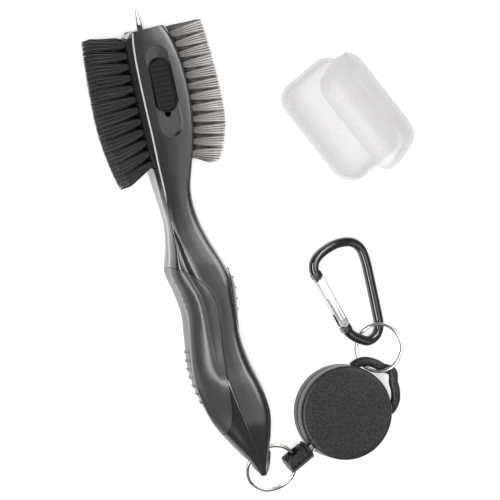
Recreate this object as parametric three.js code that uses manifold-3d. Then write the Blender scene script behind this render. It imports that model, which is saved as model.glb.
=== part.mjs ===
// A golf club groove brush lying on a table: a two-sided brush with a sliding groove spike, its retractable
// cord reel, split rings and carabiner, and its hinged bristle cover.
// Millimetres, +Z up. +Y runs from the handle's tail to the head, and the origin is on the head's flat back.

import * as THREE from 'three';
import { mergeVertices } from 'three/addons/utils/BufferGeometryUtils.js';
import Module from 'manifold-3d';

const wasm = await Module();
wasm.setup();

// ---------------------------------------------------------------- driving dimensions

const GAP = 0.3;                 // clearance between neighbouring pieces
const DEG = Math.PI / 180;

// brush body
const SPLIT_Z = 9.5;             // height of the seam between the two half shells
const WALL = 2.2;                // shell thickness
const GRIP_DEPTH = 1.5;          // thickness of the rubber laid into the shells
const HOLLOW_TOP_Y = 24.5;
const HOLLOW_TAIL_Y = -146;

const THROUGH_Z = [-5, 30];      // from under the body to above it

// body stations from head to tail: y, left x, right x, back z, front z
const STATIONS = [
  [29.5, -9.4, 6.6, 0.6, 17.6],
  [27.5, -10.6, 7.6, 0.2, 18.3],
  [20, -11.5, 9.5, 0, 18.8],
  [8, -11.7, 11, 0, 19],
  [-6, -11.5, 11.1, 0, 19],
  [-19, -11.2, 9.3, 0, 18.7],
  [-30, -10.8, 6.4, 0.4, 18],
  [-42, -10, 3.6, 1.6, 17.2],
  [-54, -9.5, 4.6, 2, 17.2],
  [-64, -11, 7.4, 1.2, 18.2],
  [-74, -13, 11, 0.4, 19.6],
  [-82, -11, 13.7, 0, 20],
  [-92, -9.6, 13.3, 0.6, 19.6],
  [-104, -10.8, 11.8, 1, 19.4],
  [-117, -11.9, 13.4, 0.6, 20],
  [-130, -9.9, 16.6, 0, 20.4],
  [-141, -6.4, 17.5, 0.6, 19.4],
  [-150, -1.2, 16, 2.2, 17],
  [-159, 4.6, 13.6, 4.6, 14.2],
  [-166.4, 8.8, 10.8, 7.6, 11.2],
];
const STATION_STEP = 7.4;        // spacing of the rings of the finished body
const FLAT_BACK = 0.06;          // where the back is this near the table it is flat on it
const HEAD_END_Y = -34;          // the boxy head section turns into the round handle section
const HANDLE_START_Y = -62;
const HANDLE_ROUNDNESS = 2.5;    // superellipse exponent of the handle

// one half-turn of the head's section in units of its half width and half height, from the back's middle
const HEAD_SECTION = [
  [0, -1], [0.5, -1], [0.84, -1], [0.96, -0.92], [1, -0.75], [1, -0.3], [1, 0.2], [1, 0.66],
  [0.95, 0.85], [0.84, 0.95], [0.45, 1], [0, 1], [-0.45, 1], [-0.79, 0.98], [-0.9, 0.83],
  [-1, 0.66], [-1, 0.2], [-1, -0.3], [-1, -0.75], [-0.96, -0.92], [-0.84, -1], [-0.5, -1],
];

// bristle blocks and tufts
const BLOCK_Y = [-28.6, 26.6];
const BLOCK_Z = [0.9, 16.2];
// each side of the head as x places: beyond its side, the block's inner face, its grooves' floor, its strips
const NYLON_SIDE = { beyond: -20, inner: -6.6, floor: -9.2, strip: -9.5, rootY: [24.6, -26.6] };
const WIRE_SIDE = { beyond: 20, inner: 4.7, floor: 5.6, strip: 5.9, rootY: [24.4, -26.4] };
// where the tips of each side stand: the reach of the middle ones, how far the row bows, its ends, and how far
// each lower row's tips stand nearer to the tail
const NYLON_TIPS = {
  x: -28.1, bow: 1.6, topShare: 0.8, endShare: 2.6, middle: 0.5, y: [28.2, -31], lowerBy: 0.85,
};
const WIRE_TIPS = {
  x: 24.3, bow: -1.2, topShare: 1, endShare: 7, middle: 0.62, y: [25.4, -29.2], lowerBy: 0.85,
};
const ROW_COUNT = 4;
const TUFTS_PER_ROW = 12;
const ROW_Z = 2.8;               // lowest row at the roots
const ROW_PITCH = 3.85;
const TIP_ROW_Z = 2.1;           // lowest row at the tips
const TIP_ROW_PITCH = 4.9;
const GROOVE_HEIGHT = 2.7;
const GROOVE_END = 0.6;          // wall left at each end of a groove
const STRIP_HEIGHT = 1.6;
const STRIP_THICKNESS = 0.8;
const STRIP_OVERHANG = 0.9;      // how far a strip runs past its end tufts
const TUFT_ROOT = 1.2;           // half size of a tuft at its root
const TUFT_TIP = [3, 2.4];    // half sizes of a tuft at its tips, along the head and across it

// groove spike and its slider
const SPIKE_X = -1.6;
const SPIKE_Z = 6.2;
const SPIKE_RADIUS = 1.25;
const SPIKE_TIP_Y = 38.9;
const SPIKE_TRAVEL = 10.5;
const BUTTON_X = -0.15;
const BUTTON_Y = [-6.6, 16.4];
const BUTTON_WIDTH = 8.8;
const RECESS_Y = [-17.4, 22.1];
const RECESS_WIDTH = 10.2;
const RECESS_FLOOR_Z = 17.7;
const BUTTON_TOP_Z = 20.2;
const RIB_PITCH = 2.1;
const RIB_COUNT = 8;
const RIB_FIRST_Y = 12.6;
const RIB_SIZE = [6.6, 0.8];     // length and width of a thumb rib
const RIB_HEIGHT = 0.35;
const STEM_Y = [2, 12];
const STEM_WIDTH = 3.4;
const SLOT_SIDE_GAP = 0.4;
const SLOT_END_GAP = 1;
const CARRIAGE_LOW = [-4.8, -5, 3.9];
const CARRIAGE_HIGH = [3.6, 14.5, 14.2];
const SPIKE_REAR_Y = 11.8;
const CONE_LENGTH = 4.6;
const CONE_TIP_RADIUS = 0.15;
const GUIDE_Y = [25, 27.5];
const GUIDE_RADIUS = 2.8;
const LEAF_LENGTH = 16;
const LEAF_BOW = 0.75;

// tail hole, cord plug and their split ring
const TAIL_HOLE = new THREE.Vector3(9.5, -156.3, 9.3);
const TAIL_HOLE_AXIS = new THREE.Vector3(0.8, 0.48, 0.34).normalize();
const TAIL_HOLE_RADIUS = 3;
const RING_WIRE = [1.3, 0.85];   // radial and axial size of one coil of a split ring
const COIL_PITCH = 0.95;
const TAIL_RING_RADIUS = 10.6;
const WIRE_BOW = 0.4;            // how far the wire bows out of the middle of a straight hole
const TAIL_RING_DROP = 24 * DEG; // slope of the ring's plane down to the table
const TAIL_RING_START = 12 * DEG;  // turn of its wire's ends round the ring

// reel
const REEL_X = 49.7;
const REEL_Y = -148.7;
const REEL_TURN = 25 * DEG;      // direction of the reel's loop
const REEL_RADIUS = 19.7;
const REEL_HEIGHT = 13.5;
const REEL_SEAM_Z = 6.45;
const REEL_WALL = 1.6;
const REEL_SIDES = 36;
const CORD_SIDE = -2.7;          // the cord leaves beside the reel's centre line
const CORD_Z = 6.75;
const CORD_RADIUS = 0.9;
const CORD_ROOM = 0.4;           // clearance round the cord
const MOUTH_RADIUS = 2.5;        // hole in the rim that the eyelet sits in
const PLUG_X = -26.3;            // middle of the plug in the reel's own frame
const PLUG_RADIUS = 4.25;
const PLUG_HOLE_X = PLUG_X - 2.3;
const PLUG_HOLE_RADIUS = 2.2;
const LOOP_Z = 6.2;
const LOOP_BAR = [3, 3];
const LOOP_PATH = [[14.6, 12.4], [18.2, 11.7], [21.2, 9.7], [23.5, 6.9], [24.8, 3.9], [26.4, 1.7], [27, 0]];

// second split ring and carabiner
const LOOP_RING_CENTRE = new THREE.Vector3(70.4, -126, 7.1);
const LOOP_RING_RADIUS = 9.9;
const LOOP_RING_TILT = 35 * DEG;
const LOOP_RING_START = -64 * DEG;
const LOOP_RING_AXIS = new THREE.Vector3(0.368, 0.93, 0).normalize();
const CARABINER_AT = [74, -106.75, 2.25];
const CARABINER_TILT = 18 * DEG;
const CARABINER_BAR = [4.2, 4];
const CARABINER_PATH = [
  [-15.3, -9.2], [-13.2, -11.6], [-10.6, -14.2], [-7.5, -15.7], [-4.3, -15.3], [-1.8, -13.6], [-0.4, -10.8],
  [0, -7], [0, 8.3], [-0.2, 16.7], [-1.1, 21.7], [-3.5, 25], [-7.2, 26.8], [-12.8, 27.3], [-18.6, 26.2],
  [-22.8, 24.5], [-25.2, 22.4], [-26.1, 19.8], [-25.7, 17.4],
];
const GATE_PIVOT = [-17.6, -5.2];
const GATE_TIP = [-25.1, 15.9];
const GATE_WIDTH = 4.1;

// bristle cover
const COVER_AT = [74.4, -28.7];
const COVER_TURN = -63.8 * DEG;
const COVER_LENGTH = 49;
const COVER_WIDTH = 31;
const COVER_CORNER = 8;
const COVER_WALL = 1.2;
const TRAY_HEIGHT = 12;
const LID_HEIGHT = 9;
const LID_OPEN = 47 * DEG;
const COVER_HINGE_OFFSET = 2.1;
const COVER_HINGE_RADIUS = 1.6;
const COVER_PIN_RADIUS = 0.7;

// ---------------------------------------------------------------- materials

function material(color, roughness, metalness, opacity = 1) {
  return new THREE.MeshStandardMaterial({ color, roughness, metalness, opacity, transparent: opacity < 1 });
}

const shellPlastic = material(0x3c3c3e, 0.42, 0);
const gripRubber = material(0x2b2b2d, 0.75, 0);
const buttonPlastic = material(0x161617, 0.5, 0);
const nylonBlack = material(0x1d1d1e, 0.55, 0);
const wireGrey = material(0xa9a5a1, 0.45, 0.4);
const nickel = material(0xcac6c0, 0.2, 1);
const springSteel = material(0x8f9296, 0.3, 1);
const reelPlastic = material(0x39393a, 0.6, 0);
const plugPlastic = material(0x1c1c1d, 0.65, 0);
const cordNylon = material(0x141415, 0.8, 0);
const blackAnodised = material(0x121214, 0.22, 0.6);
const gateAluminium = material(0xc9ccd0, 0.25, 1);
const acetal = material(0xd9d8d2, 0.5, 0);
const frostedPlastic = material(0xf1f0f2, 0.35, 0, 0.6);

// ---------------------------------------------------------------- geometry helpers

function toSolid(geometry) {
  const bare = geometry.clone();
  bare.deleteAttribute('normal');
  bare.deleteAttribute('uv');
  const welded = mergeVertices(bare, 1e-4);
  return new wasm.Manifold(new wasm.Mesh({
    numProp: 3,
    vertProperties: new Float32Array(welded.attributes.position.array),
    triVerts: new Uint32Array(welded.index.array),
  }));
}

function toGeometry(solid) {
  const mesh = solid.getMesh();
  const geometry = new THREE.BufferGeometry();
  geometry.setAttribute('position', new THREE.BufferAttribute(mesh.vertProperties, 3));
  geometry.setIndex(new THREE.BufferAttribute(mesh.triVerts, 1));
  geometry.computeVertexNormals();
  return geometry;
}

function cut(geometry, ...tools) {
  return toGeometry(tools.reduce((solid, tool) => solid.subtract(toSolid(tool)), toSolid(geometry)));
}

function join(geometry, ...others) {
  return toGeometry(others.reduce((solid, other) => solid.add(toSolid(other)), toSolid(geometry)));
}

function keep(geometry, region) {
  return toGeometry(toSolid(geometry).intersect(toSolid(region)));
}

// A closed solid through rings of points, with flat ends. Its faces are turned outwards at the end.
function loft(rings) {
  const count = rings[0].length;
  const points = rings.flat();
  const index = [];
  for (let i = 0; i + 1 < rings.length; i++) {
    for (let j = 0; j < count; j++) {
      const a = i * count + j;
      const b = i * count + (j + 1) % count;
      index.push(a, b, b + count, a, b + count, a + count);
    }
  }
  const last = (rings.length - 1) * count;
  for (let j = 1; j + 1 < count; j++) {
    index.push(0, j + 1, j, last, last + j, last + j + 1);
  }
  let volume = 0;
  for (let t = 0; t < index.length; t += 3) {
    const [a, b, c] = [points[index[t]], points[index[t + 1]], points[index[t + 2]]];
    volume += a.dot(b.clone().cross(c));
  }
  if (volume < 0) index.reverse();
  const geometry = new THREE.BufferGeometry();
  geometry.setAttribute('position', new THREE.Float32BufferAttribute(points.flatMap((p) => p.toArray()), 3));
  geometry.setIndex(index);
  geometry.computeVertexNormals();
  return geometry;
}

function box(low, high) {
  const size = high.map((value, axis) => value - low[axis]);
  return new THREE.BoxGeometry(...size).translate(...low.map((value, axis) => value + size[axis] / 2));
}

// A prism of a plan outline between two heights
function prism(points, low, high) {
  const shape = new THREE.Shape(points.map(([x, y]) => new THREE.Vector2(x, y)));
  return new THREE.ExtrudeGeometry(shape, { depth: high - low, bevelEnabled: false }).translate(0, 0, low);
}

// A slot with round ends along Y
function stadium(x, [y0, y1], width, low, high, steps = 6) {
  const r = width / 2;
  const points = [];
  for (let i = 0; i <= steps; i++) {
    const a = Math.PI * i / steps;
    points.push([x + r * Math.cos(a), y1 - r + r * Math.sin(a)]);
  }
  for (let i = 0; i <= steps; i++) {
    const a = Math.PI * (1 + i / steps);
    points.push([x + r * Math.cos(a), y0 + r + r * Math.sin(a)]);
  }
  return prism(points, low, high);
}

// A turned piece: the profile holds [radius, height] pairs, and it is turned about Z
function turned(profile, segments = 24) {
  const points = profile.map(([r, h]) => new THREE.Vector2(r, h));
  return new THREE.LatheGeometry(points, segments).rotateX(Math.PI / 2);
}

function rod(radius, low, high, segments = 16) {
  return turned([[0, low], [radius, low], [radius, high], [0, high]], segments);
}

function washer(inner, outer, low, high, segments = 20) {
  return turned([[inner, low], [outer, low], [outer, high], [inner, high], [inner, low]], segments);
}

const X_AXIS = new THREE.Vector3(1, 0, 0);
const Y_AXIS = new THREE.Vector3(0, 1, 0);
const Z_AXIS = new THREE.Vector3(0, 0, 1);

// Turns a piece built about Z so that it lies along a direction through a point
function along(geometry, direction, at) {
  const turn = new THREE.Quaternion().setFromUnitVectors(Z_AXIS, direction.clone().normalize());
  return geometry.applyQuaternion(turn).translate(at.x, at.y, at.z);
}

// A closed section of n sides, as [in-plane, out-of-plane] pairs
function roundSection([width, depth], sides = 10) {
  return Array.from({ length: sides }, (_, k) => {
    const a = 2 * Math.PI * (k + 0.5) / sides;
    return [width / 2 * Math.cos(a), depth / 2 * Math.sin(a)];
  });
}

// A bar of one section along a flat path
function planarSweep(path, section, z = 0) {
  const points = path.map(([x, y]) => new THREE.Vector2(x, y));
  return loft(points.map((point, i) => {
    const ahead = points[Math.min(i + 1, points.length - 1)];
    const behind = points[Math.max(i - 1, 0)];
    const tangent = ahead.clone().sub(behind).normalize();
    return section.map(([side, up]) => new THREE.Vector3(
      point.x + tangent.y * side, point.y - tangent.x * side, z + up));
  }));
}

// Smooth points through a hand-drawn flat path
function smoothPath(path, count) {
  const points = path.map(([x, y]) => new THREE.Vector3(x, y, 0));
  const curve = new THREE.CatmullRomCurve3(points, false, 'centripetal');
  return curve.getSpacedPoints(count).map((p) => [p.x, p.y]);
}

// The rounded rectangle of the bristle cover, made smaller all round by inset
function coverRing(z, inset, cornerSteps = 3) {
  const halfX = COVER_LENGTH / 2 - inset;
  const halfY = COVER_WIDTH / 2 - inset;
  const r = Math.max(COVER_CORNER - inset, 1.5);
  const [x0, y0] = [halfX - r, halfY - r];
  const centres = [[x0, y0], [-x0, y0], [-x0, -y0], [x0, -y0]];
  return centres.flatMap(([x, y], corner) => Array.from({ length: cornerSteps + 1 }, (_, k) => {
    const a = Math.PI / 2 * (corner + k / cornerSteps);
    return new THREE.Vector3(x + r * Math.cos(a), y + r * Math.sin(a), z);
  }));
}

// A split ring of two coils about Z, with the step where one coil climbs onto the other
function splitRing(radius) {
  const [radial, axial] = RING_WIRE;
  const start = 24 * DEG;
  const end = 4 * Math.PI - 28 * DEG;
  const stepStart = 2 * Math.PI - 22 * DEG;
  const stepEnd = 2 * Math.PI + 22 * DEG;
  const rings = [];
  const count = 52;
  for (let i = 0; i <= count; i++) {
    const angle = start + (end - start) * i / count;
    const climb = THREE.MathUtils.smoothstep(angle, stepStart, stepEnd);
    const z = COIL_PITCH * (climb - 0.5);
    const corners = [[-1, -1], [1, -1], [1, 1], [-1, 1]];
    rings.push(corners.map(([side, up]) => {
      const r = radius + side * radial / 2;
      return new THREE.Vector3(r * Math.cos(angle), r * Math.sin(angle), z + up * axial / 2);
    }));
  }
  return loft(rings);
}

const parts = new THREE.Group();

function piece(name, geometry, look, parent = parts) {
  const mesh = new THREE.Mesh(geometry, look);
  mesh.name = name;
  parent.add(mesh);
  return mesh;
}

// ---------------------------------------------------------------- brush body

const stationCurve = (column) => new THREE.CatmullRomCurve3(
  STATIONS.map((row) => new THREE.Vector3(row[0], row[column], 0)), false, 'centripetal');
const stationCurves = [1, 2, 3, 4].map((column) => stationCurve(column).getPoints(400));

// A station value at any place along the brush
function stationAt(column, y) {
  const points = stationCurves[column - 1];
  const next = points.findIndex((p) => p.x <= y);
  if (next <= 0) return points[next < 0 ? points.length - 1 : 0].y;
  const [a, b] = [points[next - 1], points[next]];
  return THREE.MathUtils.lerp(a.y, b.y, (y - a.x) / (b.x - a.x));
}

// The body's section at y, drawn in by inset all round
function bodyRing(y, inset) {
  const [left, right, swell, front] = [1, 2, 3, 4].map((column) => stationAt(column, y));
  const back = swell < FLAT_BACK ? 0 : swell;
  const halfWidth = Math.max((right - left) / 2 - inset, 0.4);
  const halfHeight = Math.max((front - back) / 2 - inset, 0.4);
  const round = THREE.MathUtils.smoothstep(-y, -HEAD_END_Y, -HANDLE_START_Y);
  return HEAD_SECTION.map(([s, t]) => {
    const angle = Math.atan2(t, s);
    const c = Math.cos(angle);
    const d = Math.sin(angle);
    const power = 2 / HANDLE_ROUNDNESS;
    const x = THREE.MathUtils.lerp(s, Math.sign(c) * Math.abs(c) ** power, round);
    const z = THREE.MathUtils.lerp(t, Math.sign(d) * Math.abs(d) ** power, round);
    return new THREE.Vector3((left + right) / 2 + x * halfWidth, y, (back + front) / 2 + z * halfHeight);
  });
}

function bodyLoft(inset, fromY, toY) {
  const steps = Math.round((fromY - toY) / STATION_STEP);
  return loft(Array.from({ length: steps + 1 }, (_, i) => (
    bodyRing(THREE.MathUtils.lerp(fromY, toY, i / steps), inset))));
}

const TOP_Y = STATIONS[0][0];
const TAIL_Y = STATIONS.at(-1)[0];
const bodyOuter = bodyLoft(0, TOP_Y, TAIL_Y);
const bodyHollow = bodyLoft(WALL, HOLLOW_TOP_Y, HOLLOW_TAIL_Y);

// plan outlines of the rubber: a long thumb rest on the left and a short pad on the right
const LEFT_GRIP = [
  [-20, -69], [-14.6, -70.4], [-10.6, -72], [-6.4, -74.6], [-4, -77], [-0.8, -80.7], [2.2, -86],
  [3, -93], [2.3, -103], [1.2, -113], [0.7, -126], [0.4, -136], [-1.8, -143.4], [-5, -146], [-20, -140],
];
const RIGHT_GRIP = [[22, -108], [12.4, -106], [10.9, -100], [11, -92], [11.6, -84], [12.4, -76], [22, -74]];

// Moves a plan outline outwards by a clearance
function widened(outline, clearance) {
  const mean = (axis) => outline.reduce((sum, point) => sum + point[axis] / outline.length, 0);
  const middle = [mean(0), mean(1)];
  return outline.map(([x, y], i) => {
    const [ax, ay] = outline[(i + outline.length - 1) % outline.length];
    const [bx, by] = outline[(i + 1) % outline.length];
    const normal = new THREE.Vector2(by - ay, ax - bx).normalize();
    if (normal.x * (x - middle[0]) + normal.y * (y - middle[1]) < 0) normal.negate();
    return [x + normal.x * clearance, y + normal.y * clearance];
  });
}

// the grips lie well inside the body's ends, so their floors stop short of them
const GRIP_ZONE_Y = [TOP_Y - 10, TAIL_Y + 8];
const gripFloor = bodyLoft(GRIP_DEPTH, ...GRIP_ZONE_Y);
const gripPocketFloor = bodyLoft(GRIP_DEPTH + GAP, ...GRIP_ZONE_Y);

function grip(outline) {
  return keep(cut(bodyOuter, gripFloor), prism(outline, ...THROUGH_Z));
}

function gripPocket(outline) {
  return cut(prism(widened(outline, GAP), ...THROUGH_Z), gripPocketFloor);
}

// The room for a bristle block, open at the head's side
function blockPocket(side) {
  const inner = side.inner - Math.sign(side.inner) * GAP;
  return box([Math.min(inner, side.beyond), BLOCK_Y[0] - GAP, BLOCK_Z[0] - GAP],
    [Math.max(inner, side.beyond), BLOCK_Y[1] + GAP, BLOCK_Z[1] + GAP]);
}

const buttonRecess = stadium(BUTTON_X, RECESS_Y, RECESS_WIDTH, RECESS_FLOOR_Z, THROUGH_Z[1]);
const slotY = [STEM_Y[0] - SPIKE_TRAVEL - SLOT_END_GAP, STEM_Y[1] + SLOT_END_GAP];
const stemSlot = stadium(BUTTON_X, slotY, STEM_WIDTH + 2 * SLOT_SIDE_GAP, SPLIT_Z + 2, THROUGH_Z[1]);
const spikeAt = (y) => new THREE.Vector3(SPIKE_X, y, SPIKE_Z);
const spikeExit = along(rod(SPIKE_RADIUS + 2 * GAP, HOLLOW_TOP_Y - WALL, TOP_Y + WALL), Y_AXIS, spikeAt(0));
const guideSeat = along(rod(GUIDE_RADIUS + GAP, HOLLOW_TOP_Y - WALL, GUIDE_Y[1] + GAP), Y_AXIS, spikeAt(0));

const TAIL_WIDTH = 28;
const tailHole = along(rod(TAIL_HOLE_RADIUS, -TAIL_WIDTH / 2, TAIL_WIDTH / 2, 14), TAIL_HOLE_AXIS, TAIL_HOLE);

const shell = cut(bodyOuter, bodyHollow, blockPocket(NYLON_SIDE), blockPocket(WIRE_SIDE),
  spikeExit, guideSeat, tailHole, gripPocket(LEFT_GRIP), gripPocket(RIGHT_GRIP));
const [aboveSeam, belowSeam] = [
  box([-40, -200, SPLIT_Z + GAP / 2], [40, 60, THROUGH_Z[1]]),
  box([-40, -200, THROUGH_Z[0]], [40, 60, SPLIT_Z - GAP / 2]),
];

piece('front_shell', cut(keep(shell, aboveSeam), buttonRecess, stemSlot), shellPlastic);
piece('back_shell', keep(shell, belowSeam), shellPlastic);
piece('left_grip', grip(LEFT_GRIP), gripRubber);
piece('right_grip', grip(RIGHT_GRIP), gripRubber);

// ---------------------------------------------------------------- bristles

// A box between two x places, in whichever order, and two y and z places
function boxBetween(x, y, z) {
  return box([Math.min(...x), Math.min(...y), z[0]], [Math.max(...x), Math.max(...y), z[1]]);
}

const rowZ = (row) => ROW_Z + row * ROW_PITCH;
const centred = (middle, size) => [middle - size / 2, middle + size / 2];

// The block of one side, with a groove along it for each row of tufts
function bristleBlock(side) {
  const grooveY = [BLOCK_Y[0] + GROOVE_END, BLOCK_Y[1] - GROOVE_END];
  const grooves = Array.from({ length: ROW_COUNT }, (_, row) => (
    boxBetween([side.floor, side.beyond], grooveY, centred(rowZ(row), GROOVE_HEIGHT))));
  return cut(keep(bodyOuter, boxBetween([side.inner, side.beyond], BLOCK_Y, BLOCK_Z)), ...grooves);
}

// One tuft: straight out of its groove as far as the head's side, then spreading to its tips
function tuft(root, mouth, tip) {
  const sides = 4;
  const ring = (centre, alongHead, acrossHead) => Array.from({ length: sides }, (_, k) => {
    const a = 2 * Math.PI * (k + 0.5) / sides;
    const offset = new THREE.Vector3(0, alongHead * Math.cos(a), acrossHead * Math.sin(a));
    return offset.add(centre);
  });
  return loft([ring(root, TUFT_ROOT, TUFT_ROOT), ring(mouth, TUFT_ROOT, TUFT_ROOT), ring(tip, ...TUFT_TIP)]);
}

// Where a tuft's tip stands in plan, from its row and its share of the way along it
function tipPlace(tips, row, share) {
  const endShare = share > tips.middle ? tips.endShare : tips.topShare;
  const bow = tips.bow * endShare * (2 * (share - tips.middle)) ** 2;
  const lower = tips.lowerBy * (ROW_COUNT - 1 - row);
  return [tips.x + bow, THREE.MathUtils.lerp(...tips.y, share) - lower];
}

// A row of tufts on its anchor strip
function tuftRow(row, side, tips) {
  const z = rowZ(row);
  const tipZ = TIP_ROW_Z + row * TIP_ROW_PITCH;
  const outwards = Math.sign(side.strip);
  const rootX = side.strip + outwards * STRIP_THICKNESS / 2;
  const stripY = [side.rootY[1] - STRIP_OVERHANG, side.rootY[0] + STRIP_OVERHANG];
  const tufts = Array.from({ length: TUFTS_PER_ROW }, (_, i) => {
    const share = i / (TUFTS_PER_ROW - 1);
    const root = new THREE.Vector3(rootX, THREE.MathUtils.lerp(...side.rootY, share), z);
    const mouth = root.clone().setX(stationAt(outwards < 0 ? 1 : 2, root.y));
    return tuft(root, mouth, new THREE.Vector3(...tipPlace(tips, row, share), tipZ));
  });
  const strip = boxBetween(centred(rootX, STRIP_THICKNESS), stripY, centred(z, STRIP_HEIGHT));
  return join(strip, ...tufts);
}

piece('nylon_block', bristleBlock(NYLON_SIDE), shellPlastic);
piece('wire_block', bristleBlock(WIRE_SIDE), shellPlastic);
for (let row = 0; row < ROW_COUNT; row++) {
  piece(`nylon_tuft_row_${row + 1}`, tuftRow(row, NYLON_SIDE, NYLON_TIPS), nylonBlack);
  piece(`wire_tuft_row_${row + 1}`, tuftRow(row, WIRE_SIDE, WIRE_TIPS), wireGrey);
}

// ---------------------------------------------------------------- groove spike and slider

piece('groove_spike', along(turned([
  [0, SPIKE_REAR_Y], [SPIKE_RADIUS, SPIKE_REAR_Y], [SPIKE_RADIUS, SPIKE_TIP_Y - CONE_LENGTH],
  [CONE_TIP_RADIUS, SPIKE_TIP_Y], [0, SPIKE_TIP_Y],
], 16), Y_AXIS, spikeAt(0)), nickel);

const socketY = [SPIKE_REAR_Y - GAP, CARRIAGE_HIGH[1] + 1];
const spikeSocket = along(rod(SPIKE_RADIUS + GAP, ...socketY), Y_AXIS, spikeAt(0));
piece('slider_carriage', cut(box(CARRIAGE_LOW, CARRIAGE_HIGH), spikeSocket), acetal);

const buttonRibs = Array.from({ length: RIB_COUNT }, (_, i) => boxBetween(
  centred(BUTTON_X, RIB_SIZE[0]), centred(RIB_FIRST_Y - i * RIB_PITCH, RIB_SIZE[1]),
  [BUTTON_TOP_Z - RIB_HEIGHT, BUTTON_TOP_Z + RIB_HEIGHT]));
const stem = boxBetween(centred(BUTTON_X, STEM_WIDTH), STEM_Y, [CARRIAGE_HIGH[2] + GAP, RECESS_FLOOR_Z + 1]);
piece('slider_button', join(
  stadium(BUTTON_X, BUTTON_Y, BUTTON_WIDTH, RECESS_FLOOR_Z + GAP, BUTTON_TOP_Z, 7), stem, ...buttonRibs),
buttonPlastic);

piece('spike_guide', along(washer(SPIKE_RADIUS + 0.2, GUIDE_RADIUS, ...GUIDE_Y), Y_AXIS, spikeAt(0)), acetal);

// A strip of spring steel of one thickness and width, for a sweep
const stripSection = (thickness, width) => [[-1, -1], [1, -1], [1, 1], [-1, 1]]
  .map(([side, up]) => [side * thickness / 2, up * width / 2]);

// a bowed leaf under the carriage that clicks at both ends of its travel
const LEAF_STEPS = 8;
const LEAF_START_Y = CARRIAGE_LOW[1] + 1.5;
const leafPath = Array.from({ length: LEAF_STEPS + 1 }, (_, i) => [
  LEAF_START_Y + LEAF_LENGTH * i / LEAF_STEPS,
  CARRIAGE_LOW[2] - 0.5 - LEAF_BOW * Math.sin(Math.PI * i / LEAF_STEPS),
]);
const leafX = (CARRIAGE_LOW[0] + CARRIAGE_HIGH[0]) / 2;
piece('detent_leaf', planarSweep(leafPath, stripSection(0.3, 4))
  .rotateX(Math.PI / 2).rotateZ(Math.PI / 2).translate(leafX, 0, 0), springSteel);

// ---------------------------------------------------------------- reel, cord and plug

const reel = new THREE.Group();
reel.position.set(REEL_X, REEL_Y, 0);
reel.rotation.z = REEL_TURN;
parts.add(reel);

const cordAt = (x) => new THREE.Vector3(x, CORD_SIDE, CORD_Z);
const reelMouth = along(rod(MOUTH_RADIUS, -REEL_RADIUS - 4, -REEL_RADIUS + 6, 12), X_AXIS, cordAt(0));
const EDGE = 0.7;                // chamfer round both faces of the reel
const REEL_BORE = REEL_RADIUS - REEL_WALL;
const FACE_THICKNESS = 1.5;
const [CUP_TOP_Z, LID_LOW_Z] = [REEL_SEAM_Z - GAP / 2, REEL_SEAM_Z + GAP / 2];
const INNER_TOP_Z = REEL_HEIGHT - FACE_THICKNESS;

const housingCup = turned([
  [0, 0], [REEL_RADIUS - EDGE, 0], [REEL_RADIUS, EDGE], [REEL_RADIUS, CUP_TOP_Z],
  [REEL_BORE, CUP_TOP_Z], [REEL_BORE, FACE_THICKNESS], [0, FACE_THICKNESS],
], REEL_SIDES);
const loopMirror = LOOP_PATH.slice(0, -1).reverse().map(([x, y]) => [x, -y]);
const loopPath = smoothPath([...LOOP_PATH, ...loopMirror], 20);
const reelLoop = planarSweep(loopPath, roundSection(LOOP_BAR, 8), LOOP_Z);
const reelBore = rod(REEL_BORE, FACE_THICKNESS, 2 * REEL_HEIGHT, REEL_SIDES);
const loopRoom = rod(REEL_RADIUS + GAP, CUP_TOP_Z, 2 * REEL_HEIGHT, REEL_SIDES);
piece('reel_back_housing', cut(join(housingCup, cut(reelLoop, reelBore, loopRoom)), reelMouth),
  reelPlastic, reel);

piece('reel_front_cover', cut(turned([
  [0, INNER_TOP_Z], [REEL_BORE, INNER_TOP_Z], [REEL_BORE, LID_LOW_Z], [REEL_RADIUS, LID_LOW_Z],
  [REEL_RADIUS, REEL_HEIGHT - EDGE], [REEL_RADIUS - EDGE, REEL_HEIGHT], [0, REEL_HEIGHT],
], REEL_SIDES), reelMouth), reelPlastic, reel);

// the spool is a drum between two flanges, open above so that the spiral spring lies inside it round the hub
const AXLE_RADIUS = 1.5;
const SPOOL_BORE = AXLE_RADIUS + 0.1;
const HUB_RADIUS = 3;
const DRUM_RADIUS = 11;
const DRUM_BORE = 9.8;
const FLANGE_RADIUS = 16.8;
const SPOOL_Z = [2.6, 9.6];
const FLANGE = 0.8;
const SPOOL_FLOOR_Z = SPOOL_Z[0] + 1;
const [SPOOL_LOW_Z, SPOOL_TOP_Z] = SPOOL_Z;
const CORD_ROOM_Z = [SPOOL_LOW_Z + FLANGE, SPOOL_TOP_Z - FLANGE];
piece('reel_spool', turned([
  [SPOOL_BORE, SPOOL_LOW_Z], [FLANGE_RADIUS, SPOOL_LOW_Z], [FLANGE_RADIUS, CORD_ROOM_Z[0]],
  [DRUM_RADIUS, CORD_ROOM_Z[0]], [DRUM_RADIUS, CORD_ROOM_Z[1]], [FLANGE_RADIUS, CORD_ROOM_Z[1]],
  [FLANGE_RADIUS, SPOOL_TOP_Z], [DRUM_BORE, SPOOL_TOP_Z], [DRUM_BORE, SPOOL_FLOOR_Z],
  [HUB_RADIUS, SPOOL_FLOOR_Z], [HUB_RADIUS, SPOOL_TOP_Z], [SPOOL_BORE, SPOOL_TOP_Z],
  [SPOOL_BORE, SPOOL_LOW_Z],
], 20), acetal, reel);
piece('reel_axle', rod(AXLE_RADIUS, FACE_THICKNESS + GAP, INNER_TOP_Z - GAP), springSteel, reel);

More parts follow.
